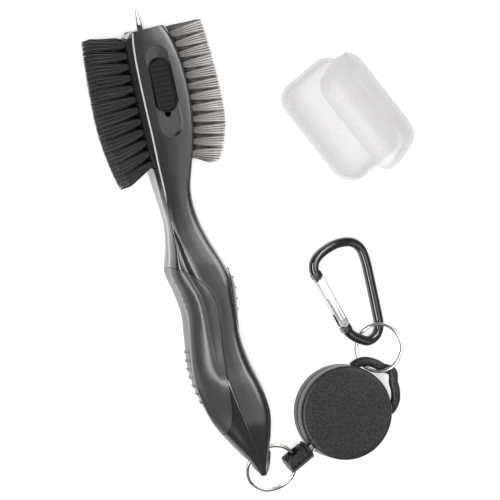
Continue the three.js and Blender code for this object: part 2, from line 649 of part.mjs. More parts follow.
const SPRING_TURNS = 3;
const SPRING_STEPS = 42;
const spiral = Array.from({ length: SPRING_STEPS + 1 }, (_, i) => {
  const share = i / SPRING_STEPS;
  const a = 2 * Math.PI * SPRING_TURNS * share;
  const r = THREE.MathUtils.lerp(HUB_RADIUS + 0.7, DRUM_BORE - 0.7, share);
  return [r * Math.cos(a), r * Math.sin(a)];
});
const springZ = (SPOOL_FLOOR_Z + SPOOL_TOP_Z) / 2;
piece('reel_spring', planarSweep(spiral, stripSection(0.3, 3.4), springZ), springSteel, reel);
const WOUND_CORD = 2.2;          // depth of the cord's layers on the drum
piece('cord_wound', washer(DRUM_RADIUS + GAP, DRUM_RADIUS + GAP + WOUND_CORD,
  CORD_ROOM_Z[0] + GAP, CORD_ROOM_Z[1] - GAP, 24), cordNylon, reel);

// a flanged eyelet that lines the mouth in the rim
const EYELET_BORE = CORD_RADIUS + CORD_ROOM;
const EYELET_NECK = MOUTH_RADIUS - GAP;
const EYELET_FLANGE = 2.9;
const [EYELET_FACE_X, EYELET_SEAT_X, EYELET_END_X] = [1.3, 0.4, -2.1].map((out) => -REEL_RADIUS - out);
piece('cord_eyelet', along(turned([
  [EYELET_BORE, EYELET_FACE_X], [EYELET_FLANGE, EYELET_FACE_X], [EYELET_FLANGE, EYELET_SEAT_X],
  [EYELET_NECK, EYELET_SEAT_X], [EYELET_NECK, EYELET_END_X], [EYELET_BORE, EYELET_END_X],
  [EYELET_BORE, EYELET_FACE_X],
], 16), X_AXIS, cordAt(0)), nickel, reel);

const PLUG_OUTER_X = PLUG_X - 6.2;
const PLUG_COLLAR_X = PLUG_X + 3.8;
const PLUG_INNER_X = PLUG_X + 5.1;
const PLUG_EDGE = 0.5;
const CORD_END_X = [PLUG_X + 0.7, -REEL_RADIUS + 2.5];
const cordBore = along(rod(EYELET_BORE, CORD_END_X[0] - GAP, CORD_END_X[1], 10), X_AXIS, cordAt(0));

// where the plug's cross hole is, in the object's frame
function fromReel(x, y, z) {
  return new THREE.Vector3(x, y, z).applyAxisAngle(Z_AXIS, REEL_TURN)
    .add(new THREE.Vector3(REEL_X, REEL_Y, 0));
}
const plugHoleAt = fromReel(PLUG_HOLE_X, CORD_SIDE, CORD_Z);

// The tail ring runs through the tail hole and the plug's cross hole, and its free side lies on the table.
const chord = plugHoleAt.clone().sub(TAIL_HOLE);
const chordUnit = chord.clone().normalize();
const sideways = new THREE.Vector3(chord.y, -chord.x, 0).normalize();
const downhill = sideways.multiplyScalar(Math.cos(TAIL_RING_DROP)).setZ(-Math.sin(TAIL_RING_DROP));
const ringNormal = chordUnit.clone().cross(downhill).normalize();
const ringInward = ringNormal.clone().cross(chordUnit);
const chordToCentre = Math.sqrt((TAIL_RING_RADIUS - WIRE_BOW) ** 2 - (chord.length() / 2) ** 2);
const tailRingCentre = TAIL_HOLE.clone().add(plugHoleAt).multiplyScalar(0.5)
  .addScaledVector(ringInward, chordToCentre);

// the plug turns on its cord until its hole follows the wire
const wireDirection = ringNormal.clone().cross(plugHoleAt.clone().sub(tailRingCentre)).normalize();
const plugHoleAxisInReel = wireDirection.clone().applyAxisAngle(Z_AXIS, -REEL_TURN);
const plugHole = along(rod(PLUG_HOLE_RADIUS, -2 * PLUG_RADIUS, 2 * PLUG_RADIUS, 12), plugHoleAxisInReel,
  cordAt(PLUG_HOLE_X));

piece('cord_plug', cut(along(turned([
  [0, PLUG_OUTER_X], [PLUG_RADIUS - PLUG_EDGE, PLUG_OUTER_X], [PLUG_RADIUS, PLUG_OUTER_X + PLUG_EDGE],
  [PLUG_RADIUS, PLUG_COLLAR_X - GAP], [0, PLUG_COLLAR_X - GAP],
]), X_AXIS, cordAt(0)), cordBore, plugHole), plugPlastic, reel);
piece('plug_collar', along(washer(EYELET_BORE, PLUG_RADIUS, PLUG_COLLAR_X, PLUG_INNER_X), X_AXIS, cordAt(0)),
  plugPlastic, reel);
piece('cord_lead', along(rod(CORD_RADIUS, ...CORD_END_X, 8), X_AXIS, cordAt(0)), cordNylon, reel);

const tailRing = piece('tail_ring', splitRing(TAIL_RING_RADIUS), nickel);
const ringStart = ringInward.clone().applyAxisAngle(ringNormal, TAIL_RING_START);
tailRing.position.copy(tailRingCentre);
tailRing.quaternion.setFromRotationMatrix(new THREE.Matrix4().makeBasis(
  ringStart, ringNormal.clone().cross(ringStart), ringNormal));

// ---------------------------------------------------------------- loop ring and carabiner

const loopRing = piece('loop_ring', splitRing(LOOP_RING_RADIUS), nickel);
const lowSide = new THREE.Vector3(-LOOP_RING_AXIS.y, LOOP_RING_AXIS.x, 0)
  .multiplyScalar(Math.cos(LOOP_RING_TILT)).setZ(-Math.sin(LOOP_RING_TILT));
const loopRingNormal = LOOP_RING_AXIS.clone().cross(lowSide).normalize();
const loopRingStart = LOOP_RING_AXIS.clone().applyAxisAngle(loopRingNormal, LOOP_RING_START);
loopRing.position.copy(LOOP_RING_CENTRE);
loopRing.quaternion.setFromRotationMatrix(new THREE.Matrix4().makeBasis(
  loopRingStart, loopRingNormal.clone().cross(loopRingStart), loopRingNormal));

const carabiner = new THREE.Group();
carabiner.position.set(...CARABINER_AT);
carabiner.rotation.y = CARABINER_TILT;
parts.add(carabiner);

const gateLine = new THREE.Vector2(GATE_TIP[0] - GATE_PIVOT[0], GATE_TIP[1] - GATE_PIVOT[1]);
const gateLength = gateLine.length();
const gateTurn = Math.atan2(gateLine.y, gateLine.x);

// Places a piece of the gate, drawn along X from the pivot, in the carabiner's plane
function atGate(geometry) {
  return geometry.rotateZ(gateTurn).translate(GATE_PIVOT[0], GATE_PIVOT[1], 0);
}

// the gate is forked round a tongue of the frame, and a pin goes through both
const TONGUE_LENGTH = 4.6;
const TONGUE_WIDTH = 3.4;
const TONGUE_THICKNESS = 1.5;
const PIN_RADIUS = 0.7;
const PIN_LENGTH = 4.1;
const FORK_DEPTH = 5.2;
const GATE_THICKNESS = 3.7;
const KNUCKLE_THICKNESS = 3.6;
const GATE_SPRING_X = [5.5, 11.4];
const THROUGH = 4;               // past the frame's both faces
const tongueZ = centred(0, TONGUE_THICKNESS);
const tongue = atGate(join(boxBetween([-TONGUE_LENGTH, 0], centred(0, TONGUE_WIDTH), tongueZ),
  rod(TONGUE_WIDTH / 2, ...tongueZ)));
const pinBoreAt = () => rod(PIN_RADIUS + 0.1, -THROUGH, THROUGH, 12);
const gateRoom = atGate(rod(GATE_WIDTH / 2 + GAP, -THROUGH, THROUGH, 20));
const frameBar = planarSweep(smoothPath(CARABINER_PATH, 36), roundSection(CARABINER_BAR, 8));
piece('carabiner_frame', cut(join(cut(frameBar, gateRoom), tongue), atGate(pinBoreAt())),
  blackAnodised, carabiner);

const gateTipX = gateLength - 0.8;
const gateBar = planarSweep([[-0.1, 0], [gateTipX / 2, 0], [gateTipX, 0]],
  roundSection([GATE_WIDTH, GATE_THICKNESS], 8));
const gateKnuckle = rod(GATE_WIDTH / 2 - 0.05, ...centred(0, KNUCKLE_THICKNESS), 16);
const forkSlot = boxBetween([-FORK_DEPTH, FORK_DEPTH], centred(0, 3 * GATE_WIDTH),
  centred(0, TONGUE_THICKNESS + 0.4));
const springBore = rod(0.85, FORK_DEPTH - 1, GATE_SPRING_X[1] + 0.6, 8).rotateY(Math.PI / 2);
piece('carabiner_gate', atGate(cut(join(gateBar, gateKnuckle), forkSlot, springBore, pinBoreAt())),
  gateAluminium, carabiner);
piece('gate_pin', atGate(rod(PIN_RADIUS, ...centred(0, PIN_LENGTH), 12)), gateAluminium, carabiner);
piece('gate_spring', atGate(rod(0.55, ...GATE_SPRING_X, 8).rotateY(Math.PI / 2)), springSteel, carabiner);

// ---------------------------------------------------------------- bristle cover

const cover = new THREE.Group();
cover.position.set(...COVER_AT, 0);
cover.rotation.z = COVER_TURN;
parts.add(cover);

const HINGE_Y = COVER_WIDTH / 2 + COVER_HINGE_OFFSET;
const HINGE_Z = TRAY_HEIGHT + GAP / 2;
const KNUCKLE_X = [17.2, 21.4];  // inner and outer ends of the lid's knuckle
const KNUCKLE_LENGTH = 3.6;
const hingeAt = new THREE.Vector3(0, HINGE_Y, HINGE_Z);

function knuckle(low, high) {
  return along(rod(COVER_HINGE_RADIUS, low, high, 14), X_AXIS, hingeAt);
}

const sides = [-1, 1];
const span = (side, a, b) => [Math.min(side * a, side * b), Math.max(side * a, side * b)];
const pinBore = along(rod(COVER_PIN_RADIUS + 0.15, -COVER_LENGTH, COVER_LENGTH, 10), X_AXIS, hingeAt);

const trayOuter = loft([coverRing(0, 2), coverRing(0.7, 0.8), coverRing(2.4, 0), coverRing(TRAY_HEIGHT, 0)]);
const trayInner = loft([coverRing(COVER_WALL, 3), coverRing(3.2, COVER_WALL),
  coverRing(TRAY_HEIGHT + 5, COVER_WALL)]);
const trayKnuckles = sides.flatMap((side) => {
  const [low, high] = span(side, KNUCKLE_X[0] - KNUCKLE_LENGTH - GAP, KNUCKLE_X[0] - GAP);
  const web = box([low, COVER_WIDTH / 2 - 0.6, HINGE_Z - COVER_HINGE_RADIUS], [high, HINGE_Y, HINGE_Z - 0.5]);
  return [knuckle(low, high), web];
});
const lidSweepRoom = boxBetween(centred(0, COVER_LENGTH),
  [COVER_WIDTH / 2 - 2, HINGE_Y - COVER_HINGE_RADIUS], [TRAY_HEIGHT, TRAY_HEIGHT + 3]);
piece('cover_tray', cut(join(trayOuter, ...trayKnuckles), trayInner, lidSweepRoom, pinBore),
  frostedPlastic, cover);

const lidRim = TRAY_HEIGHT + GAP;
const lidOuter = loft([coverRing(lidRim, 0), coverRing(lidRim + 4.5, 0.3), coverRing(lidRim + 7.6, 1.8),
  coverRing(lidRim + LID_HEIGHT - 0.4, 5), coverRing(lidRim + LID_HEIGHT, 9)]);
const lidInner = loft([coverRing(lidRim - 5, COVER_WALL), coverRing(lidRim + 4, COVER_WALL + 0.2),
  coverRing(lidRim + 6.6, 3), coverRing(lidRim + LID_HEIGHT - COVER_WALL - 0.2, 7)]);
const lidKnuckles = sides.flatMap((side) => {
  const [low, high] = span(side, KNUCKLE_X[0], KNUCKLE_X[1]);
  const web = box([low, COVER_WIDTH / 2 - 6, HINGE_Z + 0.5], [high, HINGE_Y, HINGE_Z + COVER_HINGE_RADIUS]);
  return [knuckle(low, high), web];
});
const lid = new THREE.Group();
lid.position.copy(hingeAt);
lid.rotation.x = -LID_OPEN;
cover.add(lid);
piece('cover_lid', cut(join(lidOuter, ...lidKnuckles), lidInner, pinBore)
  .translate(...hingeAt.clone().negate().toArray()), frostedPlastic, lid);
for (const [side, name] of [[-1, 'cover_pin_near'], [1, 'cover_pin_far']]) {
  const [low, high] = span(side, KNUCKLE_X[0] - KNUCKLE_LENGTH, KNUCKLE_X[1] - 0.3);
  piece(name, along(rod(COVER_PIN_RADIUS, low, high, 10), X_AXIS, hingeAt), frostedPlastic, cover);
}

export default parts;
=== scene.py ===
# %% [markdown]
# # A golf club groove brush, dressed piece by piece
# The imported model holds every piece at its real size. It is loaded first and never moved. Each visible
# piece is then either kept and given a finish, or stood for by a finer mesh of the same shape and place.
# Sizes below are millimetres in the object's own frame: +Z up, +Y from the handle's tail to the head, and
# the origin on the head's flat back. Only the last step of making a mesh turns them into metres.

# %% the frame
import math
import random
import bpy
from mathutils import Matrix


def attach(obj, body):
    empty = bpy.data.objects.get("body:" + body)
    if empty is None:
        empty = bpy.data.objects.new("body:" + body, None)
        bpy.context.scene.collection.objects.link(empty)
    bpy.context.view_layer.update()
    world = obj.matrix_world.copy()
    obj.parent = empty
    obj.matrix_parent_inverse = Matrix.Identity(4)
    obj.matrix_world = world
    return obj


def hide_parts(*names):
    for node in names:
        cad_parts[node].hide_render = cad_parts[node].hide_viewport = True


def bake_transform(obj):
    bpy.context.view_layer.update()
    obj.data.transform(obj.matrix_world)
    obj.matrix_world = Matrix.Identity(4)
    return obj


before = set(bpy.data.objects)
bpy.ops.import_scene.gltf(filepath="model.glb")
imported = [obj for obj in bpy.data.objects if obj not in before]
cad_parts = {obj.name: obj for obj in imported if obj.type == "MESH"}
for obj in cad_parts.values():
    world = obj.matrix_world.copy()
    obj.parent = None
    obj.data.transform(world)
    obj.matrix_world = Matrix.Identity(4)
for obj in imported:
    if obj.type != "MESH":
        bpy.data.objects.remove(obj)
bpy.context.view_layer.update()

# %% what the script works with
from types import SimpleNamespace

import bmesh
import bpy
import numpy as np
from mathutils import Matrix, Vector

MM = 0.001
scene = bpy.context.scene
rng = random.Random(7)
print("nodes in the frame:", len(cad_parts))

# %% [markdown]
# ## Smooth lines through a few given places
# A moulded body is drawn by a handful of lines that run along it: where its sides are, where its ridge
# is. One could type in hundreds of points, but a few measured places and a smooth curve through them are
# easier to read and to change. `through` gives such a curve as a function of y, and `smooth_path` gives
# one in the plane.


# %% lines
STEPS_BETWEEN_PLACES = 24


def through(places):
    """A smooth function of y through (y, value) places."""
    ys, values = np.array(sorted(places), float).T
    slopes = np.gradient(values, ys)

    def value(y):
        y = min(max(y, ys[0]), ys[-1])
        i = min(max(int(np.searchsorted(ys, y)) - 1, 0), len(ys) - 2)
        step = ys[i + 1] - ys[i]
        t = (y - ys[i]) / step
        rise = (2 * t + 1) * (1 - t) ** 2 * values[i] + t * t * (3 - 2 * t) * values[i + 1]
        return rise + step * (t * (1 - t) ** 2 * slopes[i] - t * t * (1 - t) * slopes[i + 1])

    return value


def smooth_path(places, count):
    """Evenly spaced points along a smooth curve through given places."""
    places = np.array(places, float)
    padded = np.vstack([2 * places[0] - places[1], places, 2 * places[-1] - places[-2]])
    fine = []
    for a, b, c, d in zip(padded, padded[1:], padded[2:], padded[3:]):
        for t in np.linspace(0, 1, STEPS_BETWEEN_PLACES, endpoint=False):
            fine.append(0.5 * (2 * b + (c - a) * t + (2 * a - 5 * b + 4 * c - d) * t**2
                               + (3 * b - a - 3 * c + d) * t**3))
    fine = np.array(fine + [padded[-2]])
    run = np.concatenate([[0], np.cumsum(np.linalg.norm(np.diff(fine, axis=0), axis=1))])
    wanted = np.linspace(0, run[-1], count)
    return np.column_stack([np.interp(wanted, run, fine[:, k]) for k in range(fine.shape[1])])


# %% blends between two values
def smoothstep(low, high, value):
    """0 up to low and 1 from high on, with a soft rise between them."""
    t = min(max((value - low) / (high - low), 0.0), 1.0)
    return t * t * (3 - 2 * t)


def mix(a, b, share):
    return a + (b - a) * share


print("a soft rise, a quarter of the way up:", smoothstep(0, 1, 0.25))

# %% [markdown]
# ## From outlines to meshes
# Most pieces are a section carried along something: round an axis for turned pieces, along a path for
# bars, or from station to station for the body. All of these are a loft, so one function makes the faces.


# %% a mesh from a loft
def new_piece(name, points, faces):
    """A mesh object from points in millimetres, with its faces turned outwards."""
    mesh = bpy.data.meshes.new(name)
    mesh.from_pydata([tuple(p) for p in np.asarray(points, float) * MM], [], faces)
    tidy = bmesh.new()
    tidy.from_mesh(mesh)
    bmesh.ops.recalc_face_normals(tidy, faces=tidy.faces)
    tidy.to_mesh(mesh)
    tidy.free()
    piece = bpy.data.objects.new(name, mesh)
    scene.collection.objects.link(piece)
    return piece


def loft_faces(rings, count, joined=False, first=0):
    """Faces between rings of count points, closed by flat ends or, where joined, onto the first ring."""
    faces = []
    for i in range(rings if joined else rings - 1):
        for j in range(count):
            a, b = i * count, (i + 1) % rings * count
            k = (j + 1) % count
            faces.append((first + a + j, first + a + k, first + b + k, first + b + j))
    if not joined:
        faces.append(tuple(first + j for j in range(count))[::-1])
        faces.append(tuple(first + (rings - 1) * count + j for j in range(count)))
    return faces


def loft(name, rings, joined=False):
    rings = np.asarray(rings, float)
    return new_piece(name, rings.reshape(-1, 3), loft_faces(len(rings), rings.shape[1], joined))


# %% turned pieces and bars
def circle(count, start=0.0):
    """(cosine, sine) pairs round a circle."""
    angles = start + 2 * math.pi * np.arange(count) / count
    return np.column_stack([np.cos(angles), np.sin(angles)])


def turned(name, profile, count=96):
    """A ring-shaped piece turned about Z from a closed profile of (radius, height) corners."""
    return loft(name, [[(r * c, r * s, h) for r, h in profile] for c, s in circle(count)], joined=True)


def plug_of(name, profile, count=96):
    """A solid turned about Z from an open profile, lowest point first, with flat ends."""
    return loft(name, [[(r * c, r * s, h) for c, s in circle(count)] for r, h in profile])


def swept(name, path, section):
    """A bar along a flat path. The section holds (sideways, up) pairs."""
    tangents = np.gradient(path, axis=0)
    tangents /= np.linalg.norm(tangents, axis=1, keepdims=True)
    return loft(name, [[(x + ty * side, y - tx * side, up) for side, up in section]
                       for (x, y), (tx, ty) in zip(path, tangents)])


# %% blocks and rods
def placed(piece, matrix):
    """Moves a mesh's points by a matrix in millimetres, and leaves its object at the origin."""
    to_metres = Matrix.Scale(MM, 4)
    piece.data.transform(to_metres @ matrix @ to_metres.inverted())
    return piece


def prism(name, outline, low, high):
    """An upright block on a plan outline."""
    return loft(name, [[(x, y, z) for x, y in outline] for z in (low, high)])


def block(name, low, high):
    (x0, y0, z0), (x1, y1, z1) = low, high
    return prism(name, [(x0, y0), (x1, y0), (x1, y1), (x0, y1)], z0, z1)


def rod(name, radius, start, end, count=32):
    """A round rod between two points."""
    start, end = Vector(start), Vector(end)
    piece = plug_of(name, [(radius, 0), (radius, (end - start).length)], count)
    turn = (end - start).to_track_quat("Z", "Y").to_matrix().to_4x4()
    return placed(piece, Matrix.Translation(start) @ turn)


# %% [markdown]
# ## Cutting, joining and softening
# Holes and pockets are cut with the Boolean modifier, and small rounds come from the Bevel modifier. Both
# are applied at once, because each piece must end as one clean mesh that others can use without this
# script.


# %% modifiers
def applied(piece):
    """Turns a piece with modifiers into a plain mesh."""
    seen = piece.evaluated_get(bpy.context.evaluated_depsgraph_get())
    mesh = bpy.data.meshes.new_from_object(seen)
    old = piece.data
    piece.modifiers.clear()
    piece.data = mesh
    bpy.data.meshes.remove(old)
    return piece


def boolean(piece, tools, operation):
    for tool in tools:
        step = piece.modifiers.new("boolean", "BOOLEAN")
        step.operation = operation
        step.object = tool
        step.solver = "MANIFOLD"
        applied(piece)
        bpy.data.objects.remove(tool)
    return piece


def cut(piece, *tools):
    return boolean(piece, tools, "DIFFERENCE")


def keep(piece, *regions):
    return boolean(piece, regions, "INTERSECT")


def join(piece, *others):
    return boolean(piece, others, "UNION")


def copy_of(piece, name):
    twin = bpy.data.objects.new(name, piece.data.copy())
    scene.collection.objects.link(twin)
    return twin


def bevelled(piece, width, segments, angle=40):
    """Softens a piece's sharp edges by a small round, as a mould or a tumbler leaves them."""
    step = piece.modifiers.new("soft edges", "BEVEL")
    step.width = width * MM
    step.segments = segments
    step.limit_method = "ANGLE"
    step.angle_limit = math.radians(angle)
    return applied(piece)


# %% [markdown]
# ## Dressing a piece
# A finished mesh still needs four things: smooth shading that stops at its real edges, a material, the
# moving body that carries it, and the names of the CAD nodes that it stands for, which are then hidden.


# %% dressing
def dressed(piece, body, look, stands_for, crease=35):
    """Gives a finished mesh its shading and material, and makes it ride on its body."""
    piece.data.shade_smooth()
    piece.data.set_sharp_from_angle(angle=math.radians(crease))
    piece.data.materials.clear()
    piece.data.materials.append(look)
    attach(piece, body)
    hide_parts(*stands_for)
    print(f"{piece.name}: {len(piece.data.polygons)} faces on {body}")
    return piece


# %% [markdown]
# ## Writing shader maths as sums
# A procedural material is mostly arithmetic on textures. Placed by hand it is a web of Math nodes. Here
# one small class stands for a socket, so that `1 - grain * 0.3` adds those nodes by itself. Colours and
# vectors never go through a Math node, which would turn them grey: they are mixed.


# %% shader helpers
class Wire:
    """The output of a node. Arithmetic on it adds Math nodes."""

    def __init__(self, look, node, output=0):
        self.look = look
        self.node = node
        self.socket = node.outputs[output]

    def out(self, output):
        return Wire(self.look, self.node, output)

    def maths(self, operation, *values):
        sockets = dict(enumerate(values))
        return self.look.node("ShaderNodeMath", {"operation": operation}, sockets)

    def __add__(self, other):
        return self.maths("ADD", self, other)

    def __radd__(self, other):
        return self.maths("ADD", other, self)

    def __sub__(self, other):
        return self.maths("SUBTRACT", self, other)

    def __rsub__(self, other):
        return self.maths("SUBTRACT", other, self)

    def __mul__(self, other):
        return self.maths("MULTIPLY", self, other)

    def __rmul__(self, other):
        return self.maths("MULTIPLY", other, self)


# %% nodes and the ways in which they are made
class Look:
    """A material and the few ways in which its nodes are made."""

    def __init__(self, name):
        self.material = bpy.data.materials.new(name)
        self.material.use_nodes = True
        self.tree = self.material.node_tree
        self.tree.nodes.clear()

    def node(self, kind, settings=None, sockets=None, output=0):
        """Makes a node. Its settings come first, and then the values or links of its sockets."""
        node = self.tree.nodes.new(kind)
        for key, value in (settings or {}).items():
            setattr(node, key, value)
        for key, value in (sockets or {}).items():
            if isinstance(value, Wire):
                self.tree.links.new(value.socket, node.inputs[key])
            else:
                node.inputs[key].default_value = value
        return Wire(self, node, output)

    def place(self):
        """The point on the piece, in metres."""
        return self.node("ShaderNodeTexCoord", output="Object")

    def stretched(self, scale):
        return self.node("ShaderNodeVectorMath", {"operation": "MULTIPLY"}, {0: self.place(), 1: scale})

    def noise(self, size, detail=3.0, place=None):
        """Cloudy variation from 0 to 1 whose patches are about size millimetres wide."""
        return self.node("ShaderNodeTexNoise", None,
                         {"Vector": place or self.place(), "Scale": 1 / (size * MM), "Detail": detail})

    def colours(self, share, low, high):
        """One colour where share is 0 and the other where it is 1."""
        return self.node("ShaderNodeMix", {"data_type": "RGBA"},
                         {0: share, 6: (*low, 1), 7: (*high, 1)}, output=2)

    def band(self, value, low, high, to_low=0.0, to_high=1.0):
        """The part of a value from low to high, spread out over another range."""
        return self.node("ShaderNodeMapRange", None,
                         {"Value": value, "From Min": low, "From Max": high,
                          "To Min": to_low, "To Max": to_high})

    def bump(self, height, depth):
        """A normal from a height of 0 to 1 that stands for depth millimetres."""
        return self.node("ShaderNodeBump", None,
                         {"Height": height, "Distance": depth * MM, "Strength": 1.0})

    def finish(self, sockets):
        """Closes the material with one Principled shader."""
        surface = self.node("ShaderNodeBsdfPrincipled", None, sockets)
        end = self.tree.nodes.new("ShaderNodeOutputMaterial")
        self.tree.links.new(surface.socket, end.inputs["Surface"])
        return self.material


# %% [markdown]
# ## The studio
# The picture was taken from above and a little from the left, on a bright table. The camera is
# orthographic, because the pieces show no perspective.

# %% camera
PICTURE_PIXELS = 500
PIXELS_PER_MM = 2.4
TO_CAMERA = Vector((-0.2523, 0.1376, 0.9578)).normalized()
CAMERA_RIGHT = Vector((0.9388, -0.2050, 0.2767)).normalized()
CAMERA_UP = TO_CAMERA.cross(CAMERA_RIGHT)
PICTURE_CENTRE = CAMERA_RIGHT * 40.29 - CAMERA_UP * 65.46
CAMERA_DISTANCE = 1000


def make_camera():
    lens = bpy.data.cameras.new("camera")
    lens.type = "ORTHO"
    lens.ortho_scale = PICTURE_PIXELS / PIXELS_PER_MM * MM
    camera = bpy.data.objects.new("camera", lens)
    turn = Matrix((CAMERA_RIGHT, CAMERA_UP, TO_CAMERA)).transposed().to_4x4()
    camera.matrix_world = Matrix.Translation((PICTURE_CENTRE + TO_CAMERA * CAMERA_DISTANCE) * MM) @ turn
    scene.collection.objects.link(camera)
    scene.camera = camera


make_camera()
scene.view_settings.view_transform = "Standard"
print("picture width in mm:", PICTURE_PIXELS / PIXELS_PER_MM)

# %% [markdown]
# ### Four soft lights and a pale table
# Black plastic shows little of its own colour: what is seen is what it mirrors. So a light is placed by
# asking which face should mirror it. The long bright one at the left draws the thin highlights along the
# ridge and the thumb rest, and whitens the table. The one at the right does the same for the handle's
# other side. Two broad and dim ones above grey the flat panel and the head. The dark room near the
# horizon gives the black bands.

# %% lights
MIDDLE = Vector((22, -70, 8)) * MM
LIGHT_DISTANCE = 1.0             # in metres, as are the sizes of the lights
ALONG_BODY = Vector((0, 1, 0))


def softbox(name, direction, size, radiance):
    """A flat light that faces the object. Its power follows from how bright it should look."""
    data = bpy.data.lights.new(name, "AREA")
    data.shape = "RECTANGLE"
    data.size, data.size_y = size
    data.energy = radiance * math.pi * size[0] * size[1]
    light = bpy.data.objects.new(name, data)
    way = Vector(direction).normalized()
    across = ALONG_BODY.cross(way).normalized()
    turn = Matrix((across, way.cross(across), way)).transposed().to_4x4()
    light.matrix_world = Matrix.Translation(MIDDLE + way * LIGHT_DISTANCE) @ turn
    light.visible_camera = False
    scene.collection.objects.link(light)


softbox("overhead_light", (0.50, -0.14, 0.85), (0.7, 1.0), 1.05)
softbox("upper_light", (0.46, 0.34, 0.82), (0.7, 0.68), 1.5)
softbox("key_light", (-0.44, -0.14, 0.89), (0.34, 1.4), 9.5)
softbox("side_light", (0.62, 0.22, 0.75), (0.2, 0.8), 3.6)

# %% room and table
ROOM_SHADE, BACKDROP_SHADE = 0.12, 0.93
TABLE_HALF, TABLE_Z = 900, -0.05
TABLE_GLOW = 0.58


def make_room():
    """The room's dim light, with a pale backdrop where the camera looks past the floor."""
    world = bpy.data.worlds.new("room")
    world.use_nodes = True
    tree = world.node_tree
    tree.nodes.clear()
    dim, pale = (tree.nodes.new("ShaderNodeBackground") for _ in range(2))
    for background, shade in ((dim, ROOM_SHADE), (pale, BACKDROP_SHADE)):
        background.inputs["Color"].default_value = (shade, shade, shade, 1)
    path = tree.nodes.new("ShaderNodeLightPath")
    choose = tree.nodes.new("ShaderNodeMixShader")
    end = tree.nodes.new("ShaderNodeOutputWorld")
    tree.links.new(path.outputs["Is Camera Ray"], choose.inputs[0])
    tree.links.new(dim.outputs[0], choose.inputs[1])
    tree.links.new(pale.outputs[0], choose.inputs[2])
    tree.links.new(choose.outputs[0], end.inputs["Surface"])
    scene.world = world


def make_floor():
    """A light table: its own faint glow keeps the shadows as pale as they are in a catalogue picture."""
    look = Look("table")
    clouds = look.noise(60)
    table = look.finish({"Base Color": look.colours(clouds, (0.60, 0.60, 0.60), (0.62, 0.62, 0.62)),
                         "Emission Color": (1, 1, 1, 1), "Emission Strength": TABLE_GLOW,
                         "Roughness": 0.6, "Specular IOR Level": 0.2})
    corners = [(x * TABLE_HALF, y * TABLE_HALF, TABLE_Z) for x, y in ((-1, -1), (1, -1), (1, 1), (-1, 1))]
    floor = new_piece("table", corners, [(0, 1, 2, 3)])
    floor.data.materials.append(table)


make_room()
make_floor()
print("room and table made, of shades", ROOM_SHADE, "and", BACKDROP_SHADE)

# %% [markdown]
# ## Plastic and rubber
# The body is satin black ABS, moulded with a slight polish. Dull black would swallow its form, so it has
# a low base colour and a thin clear coat, and its roughness drifts a little as moulding does. The thumb
# rest is softer rubber: rougher, with a fine grain that breaks its highlight up.


# %% finishes of the body
def satin_plastic(name, shade, roughness, grain_depth, coat=1.0, gloss=0.5):
    look = Look(name)
    drift = look.noise(9, 2)
    grain = look.noise(0.35, 2)
    low, high = shade
    return look.finish({
        "Base Color": look.colours(drift, (low, low, low * 1.03), (high, high, high * 1.02)),
        "Roughness": roughness + drift * 0.08 + grain * 0.05,
        "Normal": look.bump(grain, grain_depth),
        "Coat Weight": coat, "Coat Roughness": 0.15, "Specular IOR Level": gloss,
    })


def soft_rubber(name, shade, roughness):
    look = Look(name)
    drift = look.noise(7, 2)
    grain = look.noise(0.36, 4)
    low, high = shade
    return look.finish({
        "Base Color": look.colours(drift, (low, low, low), (high, high, high * 1.03)),
        "Roughness": roughness + grain * 0.14 - drift * 0.05,
        "Normal": look.bump(grain, 0.1),
        "Coat Weight": 0.65, "Coat Roughness": 0.25,
        "Sheen Weight": 0.04, "Sheen Roughness": 0.5,
    })


shell_plastic = satin_plastic("shell_plastic", (0.010, 0.014), 0.2, 0.003)
block_plastic = satin_plastic("block_plastic", (0.006, 0.009), 0.5, 0.01, 0.0)
grip_rubber = soft_rubber("grip_rubber", (0.018, 0.025), 0.36)
button_plastic = satin_plastic("button_plastic", (0.002, 0.003), 0.42, 0.01, 0.0, 0.26)
print("finishes so far:", [material.name for material in bpy.data.materials])

# %% [markdown]
# ## The hollow body
# Two half shells are welded along the side and make head, neck and handle in one. From the front the form
# is told by a few lines: the crisp ridge at the head's left, the panel's right edge, and the crease that
# the ridge turns into, which then runs between panel and thumb rest. A sculpted mesh would lose these
# lines, so each section is drawn as a ring of corners that follow them. A corner's roundness says how
# much of its neighbours' edges its curve takes: near 0 it is crisp, and at 1 the outline is one smooth
# curve.

# %% the body's stations
# each row: y, left x, right x, back z, front z
STATIONS = [
    [29.5, -8.7, 6.3, 0.4, 18.3], [27.5, -10.4, 7.3, 0.2, 18.5], [20, -11.5, 9.5, 0, 18.8],
    [8, -11.7, 11, 0, 19], [-6, -11.5, 11.1, 0, 19], [-19, -11.2, 9.3, 0, 18.7],
    [-30, -10.8, 6.4, 0.4, 18], [-42, -10, 3.6, 1.6, 17.2], [-54, -9.5, 4.6, 2, 17.2],
    [-64, -11, 7.4, 1.2, 18.2], [-74, -13, 11, 0.4, 19.6], [-82, -11, 13.7, 0, 20],
    [-92, -9.6, 13.3, 0.6, 19.6], [-104, -10.8, 11.8, 1, 19.4], [-117, -11.9, 13.4, 0.6, 20],
    [-130, -9.9, 16.6, 0, 20.4], [-141, -6.4, 17.5, 0.6, 19.4], [-150, -1.2, 16, 2.2, 17],
    [-159, 4.6, 14.2, 4.6, 14.2], [-164, 7.5, 12.7, 6.5, 12.1], [-166.4, 9.2, 11.2, 7.8, 11],
]
TOP_Y, TAIL_Y = STATIONS[0][0], STATIONS[-1][0]
left_at, right_at, back_at, front_at = (
    through([(row[0], row[k]) for row in STATIONS]) for k in (1, 2, 3, 4))

print("body from tail to head:", round(TOP_Y - TAIL_Y, 1), "mm")

